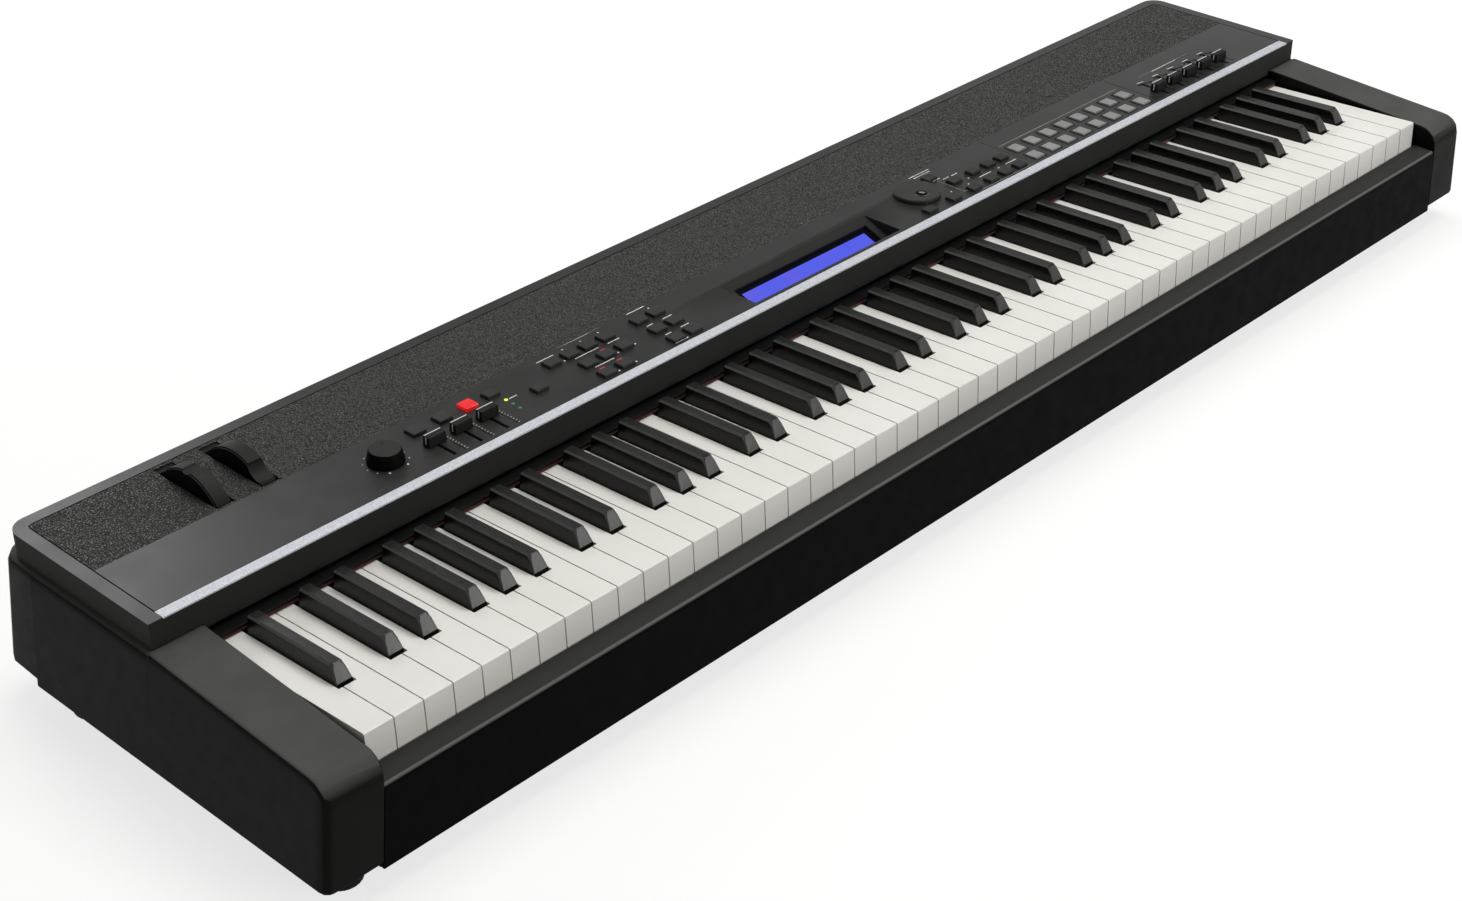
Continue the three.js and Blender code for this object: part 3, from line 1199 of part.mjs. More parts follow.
function mainBoard() {
  const floor = TRAY_BOTTOM_Z + TRAY_WALL + SEAT_GAP;
  const low = floor + MAIN_BOARD_RISE;
  const depth = MAIN_BOARD_INSETS.map((inset) => LID_REAR_Y - inset);
  const plate = box(MAIN_BOARD_X, depth, [low, low + BOARD]);
  const corners = [MAIN_BOARD_X[0] + POST_INSET, MAIN_BOARD_X[1] - POST_INSET].flatMap(
    (x) => [depth[0] + POST_INSET, depth[1] - POST_INSET].map((y) => [x, y]));
  const posts = corners.map(([x, y]) => roundAlongZ(
    x, y, POST_RADIUS, floor, low + BOARD / 2, BORE_SEGMENTS));
  const middle = (depth[0] + depth[1]) / 2;
  const spacing = (MAIN_BOARD_X[1] - MAIN_BOARD_X[0]) / (CHIP_SIZES.length + 1);
  const chips = CHIP_SIZES.map(([width, length], step) => box(
    around(MAIN_BOARD_X[0] + spacing * (step + 1), width / 2), around(middle, length / 2),
    [low + BOARD / 2, low + BOARD + CHIP_HEIGHT]));
  return together([plate, ...posts, ...chips]);
}

// Assembly

const group = new THREE.Group();
group.name = "stage_piano";

function addPiece(name, body, color, roughness, metalness) {
  const mesh = new THREE.Mesh(
    geometryOf(body), new THREE.MeshStandardMaterial({ color, roughness, metalness }));
  mesh.name = name;
  mesh.material.name = name;
  group.add(mesh);
}

const LID_COLOUR = 0x3a3a38;
const BLACK_COLOUR = 0x1c1c1b;
const BLOCK_COLOUR = 0x3c3c3a;
const SILVER_COLOUR = 0xc9cbd2;
const STEEL_COLOUR = 0x9a9c9e;
const WHITE_KEY_COLOUR = 0xe4e1d8;
const FELT_COLOUR = 0x7a1018;
const DISPLAY_COLOUR = 0x5b50f0;
const BOARD_COLOUR = 0x1d5a38;
const BUTTON_COLOUR = 0x2c2c2b;
const CATEGORY_COLOUR = 0x8a8a8a;
const RED_COLOUR = 0xe8262c;
const RUBBER_COLOUR = 0x141414;
const SATIN = 0.55;
const MATTE = 0.85;
const GLOSS = 0.3;

const blacks = blackKeys();
const rightBlock = rightEndBlock();
addPiece("bottom_tray", bottomTray(), BLACK_COLOUR, SATIN, 0);
addPiece("left_end_block", rightBlock.mirror([1, 0, 0]), BLOCK_COLOUR, SATIN, 0);
addPiece("right_end_block", rightBlock, BLOCK_COLOUR, SATIN, 0);
addPiece("top_cover", topCover(), LID_COLOUR, SATIN, 0);
addPiece("trim_strip", trimStrip(), SILVER_COLOUR, SATIN, 1);
addPiece("rear_panel", rearPanel(), BLACK_COLOUR, SATIN, 0);
addPiece("jack_panel", jackPanel(), BLACK_COLOUR, MATTE, 0);
addPiece("mains_inlet", mainsInlet(), BLACK_COLOUR, MATTE, 0);
addPiece("power_switch", powerSwitch(), BLACK_COLOUR, GLOSS, 0);
addPiece("front_rail", frontRail(), BLACK_COLOUR, SATIN, 0);
addPiece("display_module", displayModule(), DISPLAY_COLOUR, GLOSS, 0);
addPiece("key_chassis", keyChassis(), STEEL_COLOUR, SATIN, 1);
addPiece("key_felt", keyFelt(), FELT_COLOUR, 1, 0);
addPiece("felt_carrier", feltCarrier(), BLACK_COLOUR, SATIN, 1);
const leftBoard = controlBoard(LEFT_BOARD_X, faderPlaces().filter(({ x }) => x < 0), [[KNOB_X, KNOB_Y]]);
const rightBoard = controlBoard(RIGHT_BOARD_X, faderPlaces().filter(({ x }) => x > 0), [[DIAL_X, DIAL_Y]]);
addPiece("control_board_left", leftBoard, BOARD_COLOUR, SATIN, 0);
addPiece("control_board_right", rightBoard, BOARD_COLOUR, SATIN, 0);
addPiece("main_board", mainBoard(), BOARD_COLOUR, SATIN, 0);
addPiece("wheel_bracket", wheelBracket(), STEEL_COLOUR, SATIN, 1);
for (const foot of footPlaces()) addPiece(foot.name, rubberFoot(foot), RUBBER_COLOUR, MATTE, 0);
addPiece("white_key_bank", whiteKeyBank(blacks), WHITE_KEY_COLOUR, GLOSS, 0);
addPiece("black_key_bank", blackKeyBank(blacks), BLACK_COLOUR, SATIN, 0);
for (let number = HINGED_FIRST_WHITE; number <= HINGED_LAST_WHITE; number += 1) {
  const key = inKeyPlane(whiteKey(number, blacks, false));
  addPiece(`key_${whiteName(number)}`, key, WHITE_KEY_COLOUR, GLOSS, 0);
}
for (const black of blacks.filter(isHingedBlack)) {
  addPiece(`key_${black.name}`, inKeyPlane(blackKey(black, false)), BLACK_COLOUR, SATIN, 0);
}
addPiece("pitch_wheel", pitchWheel(), BLACK_COLOUR, MATTE, 0);
addPiece("modulation_wheel", modulationWheel(), BLACK_COLOUR, MATTE, 0);
addPiece("volume_knob", volumeKnob(), BLACK_COLOUR, SATIN, 0);
addPiece("data_dial", dataDial(), BLACK_COLOUR, SATIN, 0);
for (const spot of faderPlaces()) addPiece(spot.name, fader(spot), BLACK_COLOUR, SATIN, 0);
for (const button of singleButtons()) {
  const colour = button.name === "main_button" ? RED_COLOUR : BUTTON_COLOUR;
  addPiece(button.name, singleButton(button), colour, SATIN, 0);
}
for (const set of buttonGroups()) {
  const colour = set.name === "category_buttons" ? CATEGORY_COLOUR : BUTTON_COLOUR;
  addPiece(set.name, buttonGroup(set), colour, SATIN, 0);
}

export default group;
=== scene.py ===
# %% [markdown]
# # A stage piano
# The solids of this piano come from the frame. This lesson gives them a camera, light, real-looking
# surfaces and the small printed or moulded details that are too fine for the solids. We begin by
# loading the frame.

# %% Load the frame
import bpy
import json
import math
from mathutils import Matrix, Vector


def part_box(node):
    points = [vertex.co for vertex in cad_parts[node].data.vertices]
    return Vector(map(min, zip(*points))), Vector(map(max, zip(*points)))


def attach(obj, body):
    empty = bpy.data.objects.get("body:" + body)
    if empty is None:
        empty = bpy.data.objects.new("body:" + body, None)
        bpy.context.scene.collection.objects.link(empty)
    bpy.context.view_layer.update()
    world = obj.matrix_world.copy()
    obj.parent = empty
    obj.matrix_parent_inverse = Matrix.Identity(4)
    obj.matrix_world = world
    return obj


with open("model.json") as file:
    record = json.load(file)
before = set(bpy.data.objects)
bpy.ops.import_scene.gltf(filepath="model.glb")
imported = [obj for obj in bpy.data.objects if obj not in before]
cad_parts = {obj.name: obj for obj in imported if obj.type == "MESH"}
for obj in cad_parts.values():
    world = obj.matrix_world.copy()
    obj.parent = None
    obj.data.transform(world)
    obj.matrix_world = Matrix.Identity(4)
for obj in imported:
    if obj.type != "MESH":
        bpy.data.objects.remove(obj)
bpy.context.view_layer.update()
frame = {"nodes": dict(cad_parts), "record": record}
nodes = frame["nodes"]

# %% [markdown]
# ## Camera
# A camera in Blender is an object whose lens is given in millimetres for a 36 mm wide sensor. This one
# looks over the bass end of the keyboard from above the player's left shoulder. Its place, heading,
# pitch and a very slight roll were found from the edges of the keys and the lid.

# %% Place the camera
MM = 0.001
CAMERA_PLACE = Vector((-1290.58, -1098.14, 1001.36)) * MM
CAMERA_HEADING = math.radians(46.6099)
CAMERA_PITCH = math.radians(31.4698)
CAMERA_ROLL = math.radians(-0.2061)
CAMERA_LENS = 59.749
SENSOR_WIDTH = 36
NEAREST_SEEN = 0.05


def camera_axes(heading, pitch, roll):
    forward = Vector((
        math.sin(heading) * math.cos(pitch), math.cos(heading) * math.cos(pitch), -math.sin(pitch)))
    right = Vector((math.cos(heading), -math.sin(heading), 0))
    up = right.cross(forward)
    turned_right = right * math.cos(roll) + up * math.sin(roll)
    turned_up = up * math.cos(roll) - right * math.sin(roll)
    return turned_right, turned_up, forward


camera_data = bpy.data.cameras.new("camera")
camera_data.lens = CAMERA_LENS
camera_data.sensor_width = SENSOR_WIDTH
camera_data.clip_start = NEAREST_SEEN
camera = bpy.data.objects.new("camera", camera_data)
bpy.context.scene.collection.objects.link(camera)
camera_right, camera_up, camera_forward = camera_axes(CAMERA_HEADING, CAMERA_PITCH, CAMERA_ROLL)
turn = camera.matrix_world.copy()
for row in range(3):
    turn[row][0] = camera_right[row]
    turn[row][1] = camera_up[row]
    turn[row][2] = -camera_forward[row]
    turn[row][3] = CAMERA_PLACE[row]
camera.matrix_world = turn
bpy.context.scene.camera = camera
bpy.context.scene.view_settings.view_transform = "Standard"
print("camera at", [round(value, 3) for value in CAMERA_PLACE], "lens", CAMERA_LENS)

# %% [markdown]
# ## Colour and node helpers
# Hex colours are written for screens (sRGB), while a shader wants linear light, so one function turns
# the one into the other. A second function adds any node, sets its inputs and links it, which keeps
# each material short enough to read. It takes an input by its name, or by its number after a low line
# where several inputs share a name. The scale of each pattern is one over the real size of its cells.

# %% Helpers for materials


def linear(hex_colour):
    channels = [int(hex_colour[start:start + 2], 16) / 255 for start in (1, 3, 5)]
    turned = [c / 12.92 if c <= 0.04045 else ((c + 0.055) / 1.055) ** 2.4 for c in channels]
    return (*turned, 1.0)


def add(tree, kind, settings=None, **inputs):
    node = tree.nodes.new(kind)
    for name, value in (settings or {}).items():
        setattr(node, name, value)
    for name, value in inputs.items():
        socket = node.inputs[int(name[1:])] if name[1:].isdigit() else node.inputs[name.replace("_", " ")]
        if isinstance(value, bpy.types.NodeSocket):
            tree.links.new(value, socket)
        else:
            socket.default_value = value
    return node


def new_material(name, hex_colour, roughness, metallic=0.0, ior=1.5):
    material = bpy.data.materials.new(name)
    material.use_nodes = True
    tree = material.node_tree
    shader = tree.nodes["Principled BSDF"]
    shader.inputs["Base Color"].default_value = linear(hex_colour)
    shader.inputs["Roughness"].default_value = roughness
    shader.inputs["Metallic"].default_value = metallic
    if not metallic:
        shader.inputs["IOR"].default_value = ior
    place = add(tree, "ShaderNodeTexCoord").outputs["Object"]
    return material, tree, shader, place


def noise(tree, place, cell_mm, detail=2.0, roughness=0.5):
    return add(
        tree, "ShaderNodeTexNoise", Vector=place, Scale=1 / (cell_mm * MM), Detail=detail,
        Roughness=roughness).outputs["Fac"]


def ramp(tree, value, stops):
    node = add(tree, "ShaderNodeValToRGB", Fac=value)
    elements = node.color_ramp.elements
    while len(elements) < len(stops):
        elements.new(0.5)
    for element, (position, colour) in zip(elements, stops):
        element.position = position
        element.color = linear(colour) if isinstance(colour, str) else (colour, colour, colour, 1)
    return node.outputs["Color"]


def link(tree, output, shader, name):
    tree.links.new(output, shader.inputs[name])


def bump(tree, shader, height, depth_mm, strength=1.0):
    node = add(
        tree, "ShaderNodeBump", Height=height, Strength=strength, Distance=depth_mm * MM)
    link(tree, node.outputs["Normal"], shader, "Normal")


materials = {}
print("helpers ready")

# %% [markdown]
# ## Charcoal paint with a leather grain
# The lid is sheet metal with a charcoal paint. Behind the controls, inside a fine groove, the paint is
# textured like leather; the border outside the groove and the control band stay smooth. An image could
# carry the grain, but a pattern that is worked out from the place on the lid stays sharp at any
# distance. Its cells are drawn 1.8 mm wide, a little wider than the real ones, so that they show in a
# picture of the whole instrument. Each cell is a pale, glossier crown and the folds between them are
# dark and dull. The pale crowns are partly a tone that varies at random and partly a painted highlight,
# and the dark folds are painted shade, which gives the eye the soft speckle of leather. The mask comes
# from the place too: it is 1 inside the grained field and 0 outside it. A second mask paints shade on
# what lies below the top: the folded edges and the recess are painted a dull near black.

# %% Masks from places
LID_TOP = round(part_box("top_cover")[1].z / MM, 3)
GRAIN_FIELD = {"half_x": 639.5, "front_y": 76.0, "rear_y": 152.0}


def times(tree, first, second):
    return add(tree, "ShaderNodeMath", {"operation": "MULTIPLY"}, _0=first, _1=second).outputs[0]


def within(tree, value, low, high):
    above = add(tree, "ShaderNodeMath", {"operation": "GREATER_THAN"}, _0=value, _1=low * MM)
    below = add(tree, "ShaderNodeMath", {"operation": "LESS_THAN"}, _0=value, _1=high * MM)
    return times(tree, above.outputs[0], below.outputs[0])


def mixed(tree, factor, first, second):
    settings = {"data_type": "RGBA"}
    return add(tree, "ShaderNodeMix", settings, _0=factor, _6=first, _7=second).outputs[2]


# %% Lid paint
GRAIN_MM = 1.8
GRAIN_DEPTH_MM = 0.5
WRINKLE_MM = 3.0
WRINKLE_SHIFT = 1.6 * MM
TOP_TOLERANCE = 0.15
PAINT_CLOUD_MM = 60
GLOSS_CLOUD_MM = 25
SPRAY_MM = 0.5
SPRAY_SHARE = 0.03
DULL = (0.85, 0.85, 0.85, 1.0)


def wrinkled_cells(tree, place):
    warp = add(tree, "ShaderNodeTexNoise", Vector=place, Scale=1 / (WRINKLE_MM * MM), Detail=2.0)
    bent = add(
        tree, "ShaderNodeVectorMath", {"operation": "MULTIPLY_ADD"},
        _0=warp.outputs["Color"], _1=(WRINKLE_SHIFT, WRINKLE_SHIFT, 0.0), _2=place).outputs[0]
    edge = add(
        tree, "ShaderNodeTexVoronoi", {"feature": "DISTANCE_TO_EDGE"}, Vector=bent,
        Scale=1 / (GRAIN_MM * MM)).outputs["Distance"]
    cell = add(
        tree, "ShaderNodeTexVoronoi", {"feature": "F1"}, Vector=bent,
        Scale=1 / (GRAIN_MM * MM)).outputs["Color"]
    return ramp(tree, edge, [(0.05, 0.0), (0.25, 1.0)]), cell


def lid_paint():
    material, tree, shader, place = new_material("charcoal_leather_grain_paint", "#41413f", 0.5)
    axes = add(tree, "ShaderNodeSeparateXYZ", Vector=place)
    half_x = GRAIN_FIELD["half_x"]
    mask = times(
        tree,
        within(tree, axes.outputs["X"], -half_x, half_x),
        within(tree, axes.outputs["Y"], GRAIN_FIELD["front_y"], GRAIN_FIELD["rear_y"]))
    height, cell = wrinkled_cells(tree, place)
    # crowns paler than folds: partly random tone, partly painted highlight; the near-black folds are
    # painted shade
    crowns = ramp(tree, cell, [(0.2, "#32322f"), (0.5, "#403f3c"), (0.8, "#504f4a")])
    painted_grain_light_and_shade = mixed(tree, height, linear("#060606"), crowns)
    plain = ramp(tree, noise(tree, place, PAINT_CLOUD_MM, 3), [(0.3, "#222221"), (0.7, "#292928")])
    above = mixed(tree, mask, plain, painted_grain_light_and_shade)
    # below the top, the folded edges and the recess are painted near black: painted shade
    top = within(tree, axes.outputs["Z"], LID_TOP - TOP_TOLERANCE, LID_TOP + 1)
    link(tree, mixed(tree, top, linear("#161614"), above), shader, "Base Color")
    shader.inputs["Specular IOR Level"].default_value = 0.35
    fine = times(tree, noise(tree, place, SPRAY_MM, 1), SPRAY_SHARE)
    raised = add(
        tree, "ShaderNodeMath", {"operation": "ADD"}, _0=fine, _1=times(tree, height, mask)).outputs[0]
    bump(tree, shader, raised, GRAIN_DEPTH_MM)
    smooth = ramp(tree, noise(tree, place, GLOSS_CLOUD_MM, 3), [(0.3, 0.28), (0.7, 0.34)])
    in_grain = ramp(tree, height, [(0.3, 0.75), (0.9, 0.36)])
    on_top = mixed(tree, mask, smooth, in_grain)
    link(tree, mixed(tree, top, DULL, on_top), shader, "Roughness")
    return material


materials["lid_paint"] = lid_paint()
print("lid paint made, grain", GRAIN_MM, "mm")

# %% [markdown]
# ## Satin mouldings
# The end blocks, front rail, knobs and buttons are ABS that came out of textured moulds. Such a
# surface has a spark-eroded grain of a few tenths of a millimetre that breaks up its highlights. One
# function makes most of them, because they differ only in shade, gloss and grain size. The end blocks,
# the volume knob and the wheels have a second function, which paints light and shade by the direction
# that a face looks. Faces that look up, the tops of the blocks and the knob and the rims of the wheels,
# are painted a pale satin grey as painted light. The other faces are painted near black as painted
# shade, which leaves a black line along each edge. The front rail has a third: its front is painted
# almost black as painted shade, its top is grey, and the rounded edge between them is painted the
# palest, a painted highlight.

# %% Moulded plastics


CLOUD_MM = 45
PATCH_MM = 12
PATCH_DRIFT = 0.04


def moulded(name, hex_colour, roughness, grain_mm=0.5, depth_mm=0.03, drift=0.06, specular=0.12):
    material, tree, shader, place = new_material(name, hex_colour, roughness, ior=1.53)
    shader.inputs["Specular IOR Level"].default_value = specular
    cloud = noise(tree, place, CLOUD_MM, 4)
    shade = [int(hex_colour[start:start + 2], 16) for start in (1, 3, 5)]
    darker = "#" + "".join(f"{max(0, int(c * (1 - drift))):02x}" for c in shade)
    lighter = "#" + "".join(f"{min(255, int(c * (1 + drift))):02x}" for c in shade)
    link(tree, ramp(tree, cloud, [(0.35, darker), (0.65, lighter)]), shader, "Base Color")
    bump(tree, shader, noise(tree, place, grain_mm, 2), depth_mm, 0.7)
    stops = [(0.3, roughness - PATCH_DRIFT), (0.7, roughness + PATCH_DRIFT)]
    rough = ramp(tree, noise(tree, place, PATCH_MM, 3), stops)
    link(tree, rough, shader, "Roughness")
    return material


def facing(tree, axis):
    normal = add(tree, "ShaderNodeTexCoord").outputs["Normal"]
    return add(tree, "ShaderNodeSeparateXYZ", Vector=normal).outputs[axis]


def facing_sideways(tree):
    return add(tree, "ShaderNodeMath", {"operation": "ABSOLUTE"}, _0=facing(tree, "X")).outputs[0]


def painted_by_facing(name, shade_colour, lit_low, lit_high, grain_mm, specular):
    material, tree, shader, place = new_material(name, shade_colour, 0.48, ior=1.53)
    shader.inputs["Specular IOR Level"].default_value = specular
    # faces that look up take the pale tone as painted light; the others keep the near-black colour as
    # painted shade
    not_sideways = ramp(tree, facing_sideways(tree), [(0.25, 1.0), (0.5, 0.0)])
    lit_share = times(tree, not_sideways, ramp(tree, facing(tree, "Z"), [(0.3, 0.0), (0.75, 1.0)]))
    satin = ramp(tree, noise(tree, place, CLOUD_MM, 4), [(0.35, lit_low), (0.65, lit_high)])
    link(tree, mixed(tree, lit_share, linear(shade_colour), satin), shader, "Base Color")
    bump(tree, shader, noise(tree, place, grain_mm, 2), 0.05, 0.7)
    rough = ramp(tree, noise(tree, place, PATCH_MM, 3), [(0.3, 0.44), (0.7, 0.52)])
    link(tree, rough, shader, "Roughness")
    return material


def rail_plastic():
    material, tree, shader, place = new_material("moulded_rail_abs", "#060605", 0.55, ior=1.53)
    shader.inputs["Specular IOR Level"].default_value = 0.02
    # front near black as painted shade, rounded edge palest as a painted highlight, top grey
    stops = [(0.2, "#030303"), (0.45, "#666662"), (0.85, "#5c5c58"), (0.97, "#343432")]
    link(tree, ramp(tree, facing(tree, "Z"), stops), shader, "Base Color")
    bump(tree, shader, noise(tree, place, 0.5, 2), 0.04, 0.7)
    rough = ramp(tree, noise(tree, place, PATCH_MM, 3), [(0.3, 0.5), (0.7, 0.6)])
    link(tree, rough, shader, "Roughness")
    return material


materials["block_plastic"] = painted_by_facing(
    "moulded_dark_grey_abs", "#0e0e0d", "#454543", "#4c4c4a", 0.6, 0.04)
materials["rail_plastic"] = rail_plastic()
materials["case_plastic"] = moulded("moulded_black_abs", "#101010", 0.55, specular=0.06)
materials["socket_plastic"] = moulded("moulded_black_nylon", "#141414", 0.5)
materials["button_plastic"] = moulded("moulded_button_abs", "#2c2c2b", 0.5, 0.3, 0.02, specular=0.15)
materials["cap_plastic"] = moulded("moulded_cap_abs", "#121211", 0.45, 0.5, 0.04, specular=0.12)
materials["knob_plastic"] = painted_by_facing(
    "moulded_knob_abs", "#080808", "#30302e", "#363634", 0.5, 0.02)
materials["dial_plastic"] = moulded("moulded_dial_abs", "#2e2e2c", 0.45, 0.8, 0.06, specular=0.15)
materials["category_plastic"] = moulded("moulded_grey_abs", "#7e7e7d", 0.5, 0.3, 0.02, specular=0.2)
materials["wheel_rubber"] = painted_by_facing(
    "soft_touch_rubber", "#070707", "#262625", "#2d2d2b", 0.5, 0.05)
materials["foot_rubber"] = moulded("moulded_foot_rubber", "#121211", 0.75, 0.6, 0.05)
# near-black colour of the polished dish lining: painted shade of the hollow
materials["polished_plastic"] = moulded(
    "polished_abs_painted_dark", "#050505", 0.12, 3.0, 0.01, specular=0.5)
print("moulded plastics:", len(materials))

# %% [markdown]
# ## Key plastics
# White keys are a warm white acrylic, moulded smooth and polished only softly, so they carry a broad
# sheen. A little light enters the plastic, which the subsurface setting gives. Black keys are a satin
# phenolic with fine grooves along the key, stretched here by squeezing the pattern along it. Their
# colour is painted by how far a face looks upward. Faces that look sideways are painted near black as
# painted shade, faces that slope between top and side, such as the long upper edges, are painted
# paler as a painted highlight, and the tops are dark grey.

# %% White and black key plastics


GROOVE_MM = 0.45
GROOVE_STRETCH = (1.0, 0.04, 1.0)


def white_key_plastic():
    material, tree, shader, place = new_material("moulded_white_acrylic", "#dcd9d1", 0.36, ior=1.49)
    tint = ramp(tree, noise(tree, place, 80, 3), [(0.3, "#dad8d1"), (0.7, "#e0ded8")])
    link(tree, tint, shader, "Base Color")
    shader.inputs["Subsurface Weight"].default_value = 0.08
    shader.inputs["Subsurface Radius"].default_value = (0.0012, 0.001, 0.0008)
    shader.inputs["Subsurface Scale"].default_value = 1.0
    bump(tree, shader, noise(tree, place, 0.6, 2), 0.01, 0.5)
    rough = ramp(tree, noise(tree, place, 9, 3), [(0.3, 0.33), (0.7, 0.4)])
    link(tree, rough, shader, "Roughness")
    return material


def black_key_plastic():
    material, tree, shader, place = new_material("satin_black_phenolic", "#0e0d0d", 0.3, ior=1.55)
    shader.inputs["Specular IOR Level"].default_value = 0.2
    squeezed = add(
        tree, "ShaderNodeMapping", Vector=place, Scale=GROOVE_STRETCH).outputs["Vector"]
    streaks = noise(tree, squeezed, GROOVE_MM, 3, 0.6)
    # sides near black as painted shade, sloping edges pale as a painted highlight, tops dark grey
    stops = [(0.25, "#080707"), (0.42, "#343432"), (0.8, "#5c5c58"), (0.95, "#242423")]
    facing_highlight_and_shade = ramp(tree, facing(tree, "Z"), stops)
    speckled = ramp(tree, streaks, [(0.3, "#c8c8c8"), (0.7, "#ffffff")])
    shade = add(
        tree, "ShaderNodeVectorMath", {"operation": "MULTIPLY"}, _0=facing_highlight_and_shade, _1=speckled).outputs[0]
    link(tree, shade, shader, "Base Color")
    link(tree, ramp(tree, streaks, [(0.3, 0.26), (0.7, 0.34)]), shader, "Roughness")
    bump(tree, shader, streaks, 0.012, 0.7)
    return material


materials["white_key_plastic"] = white_key_plastic()
materials["black_key_plastic"] = black_key_plastic()
print("key plastics made")

# %% [markdown]
# ## Metals, felt, board and display
# The strip along the lid is aluminium with a fine pearl speckle under a satin lacquer, so it reflects
# softly and is only partly a bare metal to the eye. The tray is powder coated and the chassis is
# zinc-plated sheet. Felt is wool pressed into a strip, so its colour is uneven and its edge glows a
# little, which sheen gives. The display is a liquid crystal lit from behind: a window of it glows in
# an uneven blue, and the rim round the window stays dark.

# %% Metals


def trim_aluminium():
    material, tree, shader, place = new_material("lacquered_aluminium", "#bdbfc5", 0.52, metallic=0.25)
    speck = ramp(
        tree, noise(tree, place, 0.9, 3, 0.8),
        [(0.38, "#a9abb1"), (0.5, "#bdbfc5"), (0.62, "#d4d6db")])
    link(tree, speck, shader, "Base Color")
    bump(tree, shader, noise(tree, place, 0.8, 2), 0.015, 0.5)
    return material


def coated_steel():
    material, tree, shader, place = new_material("powder_coated_steel", "#121211", 0.55, ior=1.5)
    bump(tree, shader, noise(tree, place, 0.9, 3), 0.06, 0.8)
    shader.inputs["Specular IOR Level"].default_value = 0.1
    shade = ramp(tree, noise(tree, place, 70, 3), [(0.3, "#0f0f0e"), (0.7, "#151514")])
    link(tree, shade, shader, "Base Color")
    return material


def plated_steel():
    material, tree, shader, place = new_material("zinc_plated_steel", "#9d9fa2", 0.38, metallic=1.0)
    rolled = add(tree, "ShaderNodeMapping", Vector=place, Scale=(0.05, 1.0, 1.0)).outputs["Vector"]
    link(tree, ramp(tree, noise(tree, rolled, 1.2, 3), [(0.3, 0.32), (0.7, 0.48)]), shader, "Roughness")
    spangle = ramp(tree, noise(tree, place, 14, 3), [(0.3, "#8e9093"), (0.7, "#a8aaac")])
    link(tree, spangle, shader, "Base Color")
    return material


materials["trim_aluminium"] = trim_aluminium()
materials["coated_steel"] = coated_steel()
materials["chassis_steel"] = plated_steel()
print("metals made")

# %% Felt, laminate and lit parts


TRACK_MM = 6


def pressed_felt():
    material, tree, shader, place = new_material("pressed_wool_felt", "#4c0d12", 0.95, ior=1.45)
    fibres = noise(tree, place, 0.5, 4, 0.8)
    link(tree, ramp(tree, fibres, [(0.3, "#3a0a0e"), (0.7, "#5e1118")]), shader, "Base Color")
    bump(tree, shader, fibres, 0.3)
    shader.inputs["Sheen Weight"].default_value = 0.25
    shader.inputs["Sheen Roughness"].default_value = 0.5
    return material


def board_laminate():
    material, tree, shader, place = new_material("glass_epoxy_laminate", "#1f5a3a", 0.4, ior=1.55)
    tracks = add(
        tree, "ShaderNodeTexVoronoi", {"distance": "MANHATTAN", "feature": "F1"}, Vector=place,
        Scale=1 / (TRACK_MM * MM)).outputs["Distance"]
    link(tree, ramp(tree, tracks, [(0.3, "#1c5235"), (0.5, "#2a6b45")]), shader, "Base Color")
    return material


DISPLAY_HALF_X = 72.6
DISPLAY_FRONT_Y = 20.0
DISPLAY_REAR_Y = 41.0


def lit(name, hex_colour, strength, body_colour):
    material, tree, shader, place = new_material(name, body_colour, 0.3, ior=1.5)
    shader.inputs["Emission Color"].default_value = linear(hex_colour)
    shader.inputs["Emission Strength"].default_value = strength
    bump(tree, shader, noise(tree, place, 0.8, 2), 0.02, 0.6)
    return material


def display_glass():
    material, tree, shader, place = new_material("backlit_liquid_crystal", "#06060f", 0.18, ior=1.52)
    axes = add(tree, "ShaderNodeSeparateXYZ", Vector=place)
    lit_area = times(
        tree,
        within(tree, axes.outputs["X"], -DISPLAY_HALF_X, DISPLAY_HALF_X),
        within(tree, axes.outputs["Y"], DISPLAY_FRONT_Y, DISPLAY_REAR_Y))
    shader.inputs["Specular IOR Level"].default_value = 0.1
    cloud = noise(tree, place, 30, 2)
    glow = ramp(tree, cloud, [(0.3, "#5a66fa"), (0.55, "#6068f8"), (0.75, "#7066f4")])
    link(tree, mixed(tree, lit_area, linear("#05050c"), glow), shader, "Emission Color")
    shader.inputs["Emission Strength"].default_value = 0.85
    return material


materials["red_felt"] = pressed_felt()
materials["board_laminate"] = board_laminate()
materials["display_glass"] = display_glass()
materials["red_lens"] = lit("lit_red_lens", "#ff1c24", 0.4, "#b81216")
materials["green_lamp"] = lit("lit_yellow_green_lens", "#d8f02a", 1.1, "#9fb420")
# the unlit lenses glow faintly: a painted glow
materials["dim_lamp"] = lit("unlit_green_lens_painted_glow", "#1c6b50", 0.35, "#185a44")
materials["white_ink"] = moulded("screen_printed_white_ink", "#c9c9c6", 0.6, 0.5, 0.01)
materials["grey_ink"] = moulded("screen_printed_grey_ink", "#77776f", 0.6, 0.5, 0.01)
materials["black_ink"] = moulded("screen_printed_black_ink", "#0b0b0a", 0.6, 0.5, 0.01)
print("all materials:", sorted(materials))

# %% [markdown]
# ## Dressing the solids
# A solid straight from a modeller has knife edges. Real mouldings have small rounded edges that catch
# the light, so every node gets a Weld modifier, which joins its split corners, and then a Bevel
# modifier with a radius that fits what it is made of. The bevel leaves shallow angles alone. Last, the
# Weighted Normal modifier shades large faces as flat and lets only the rounded edges turn.

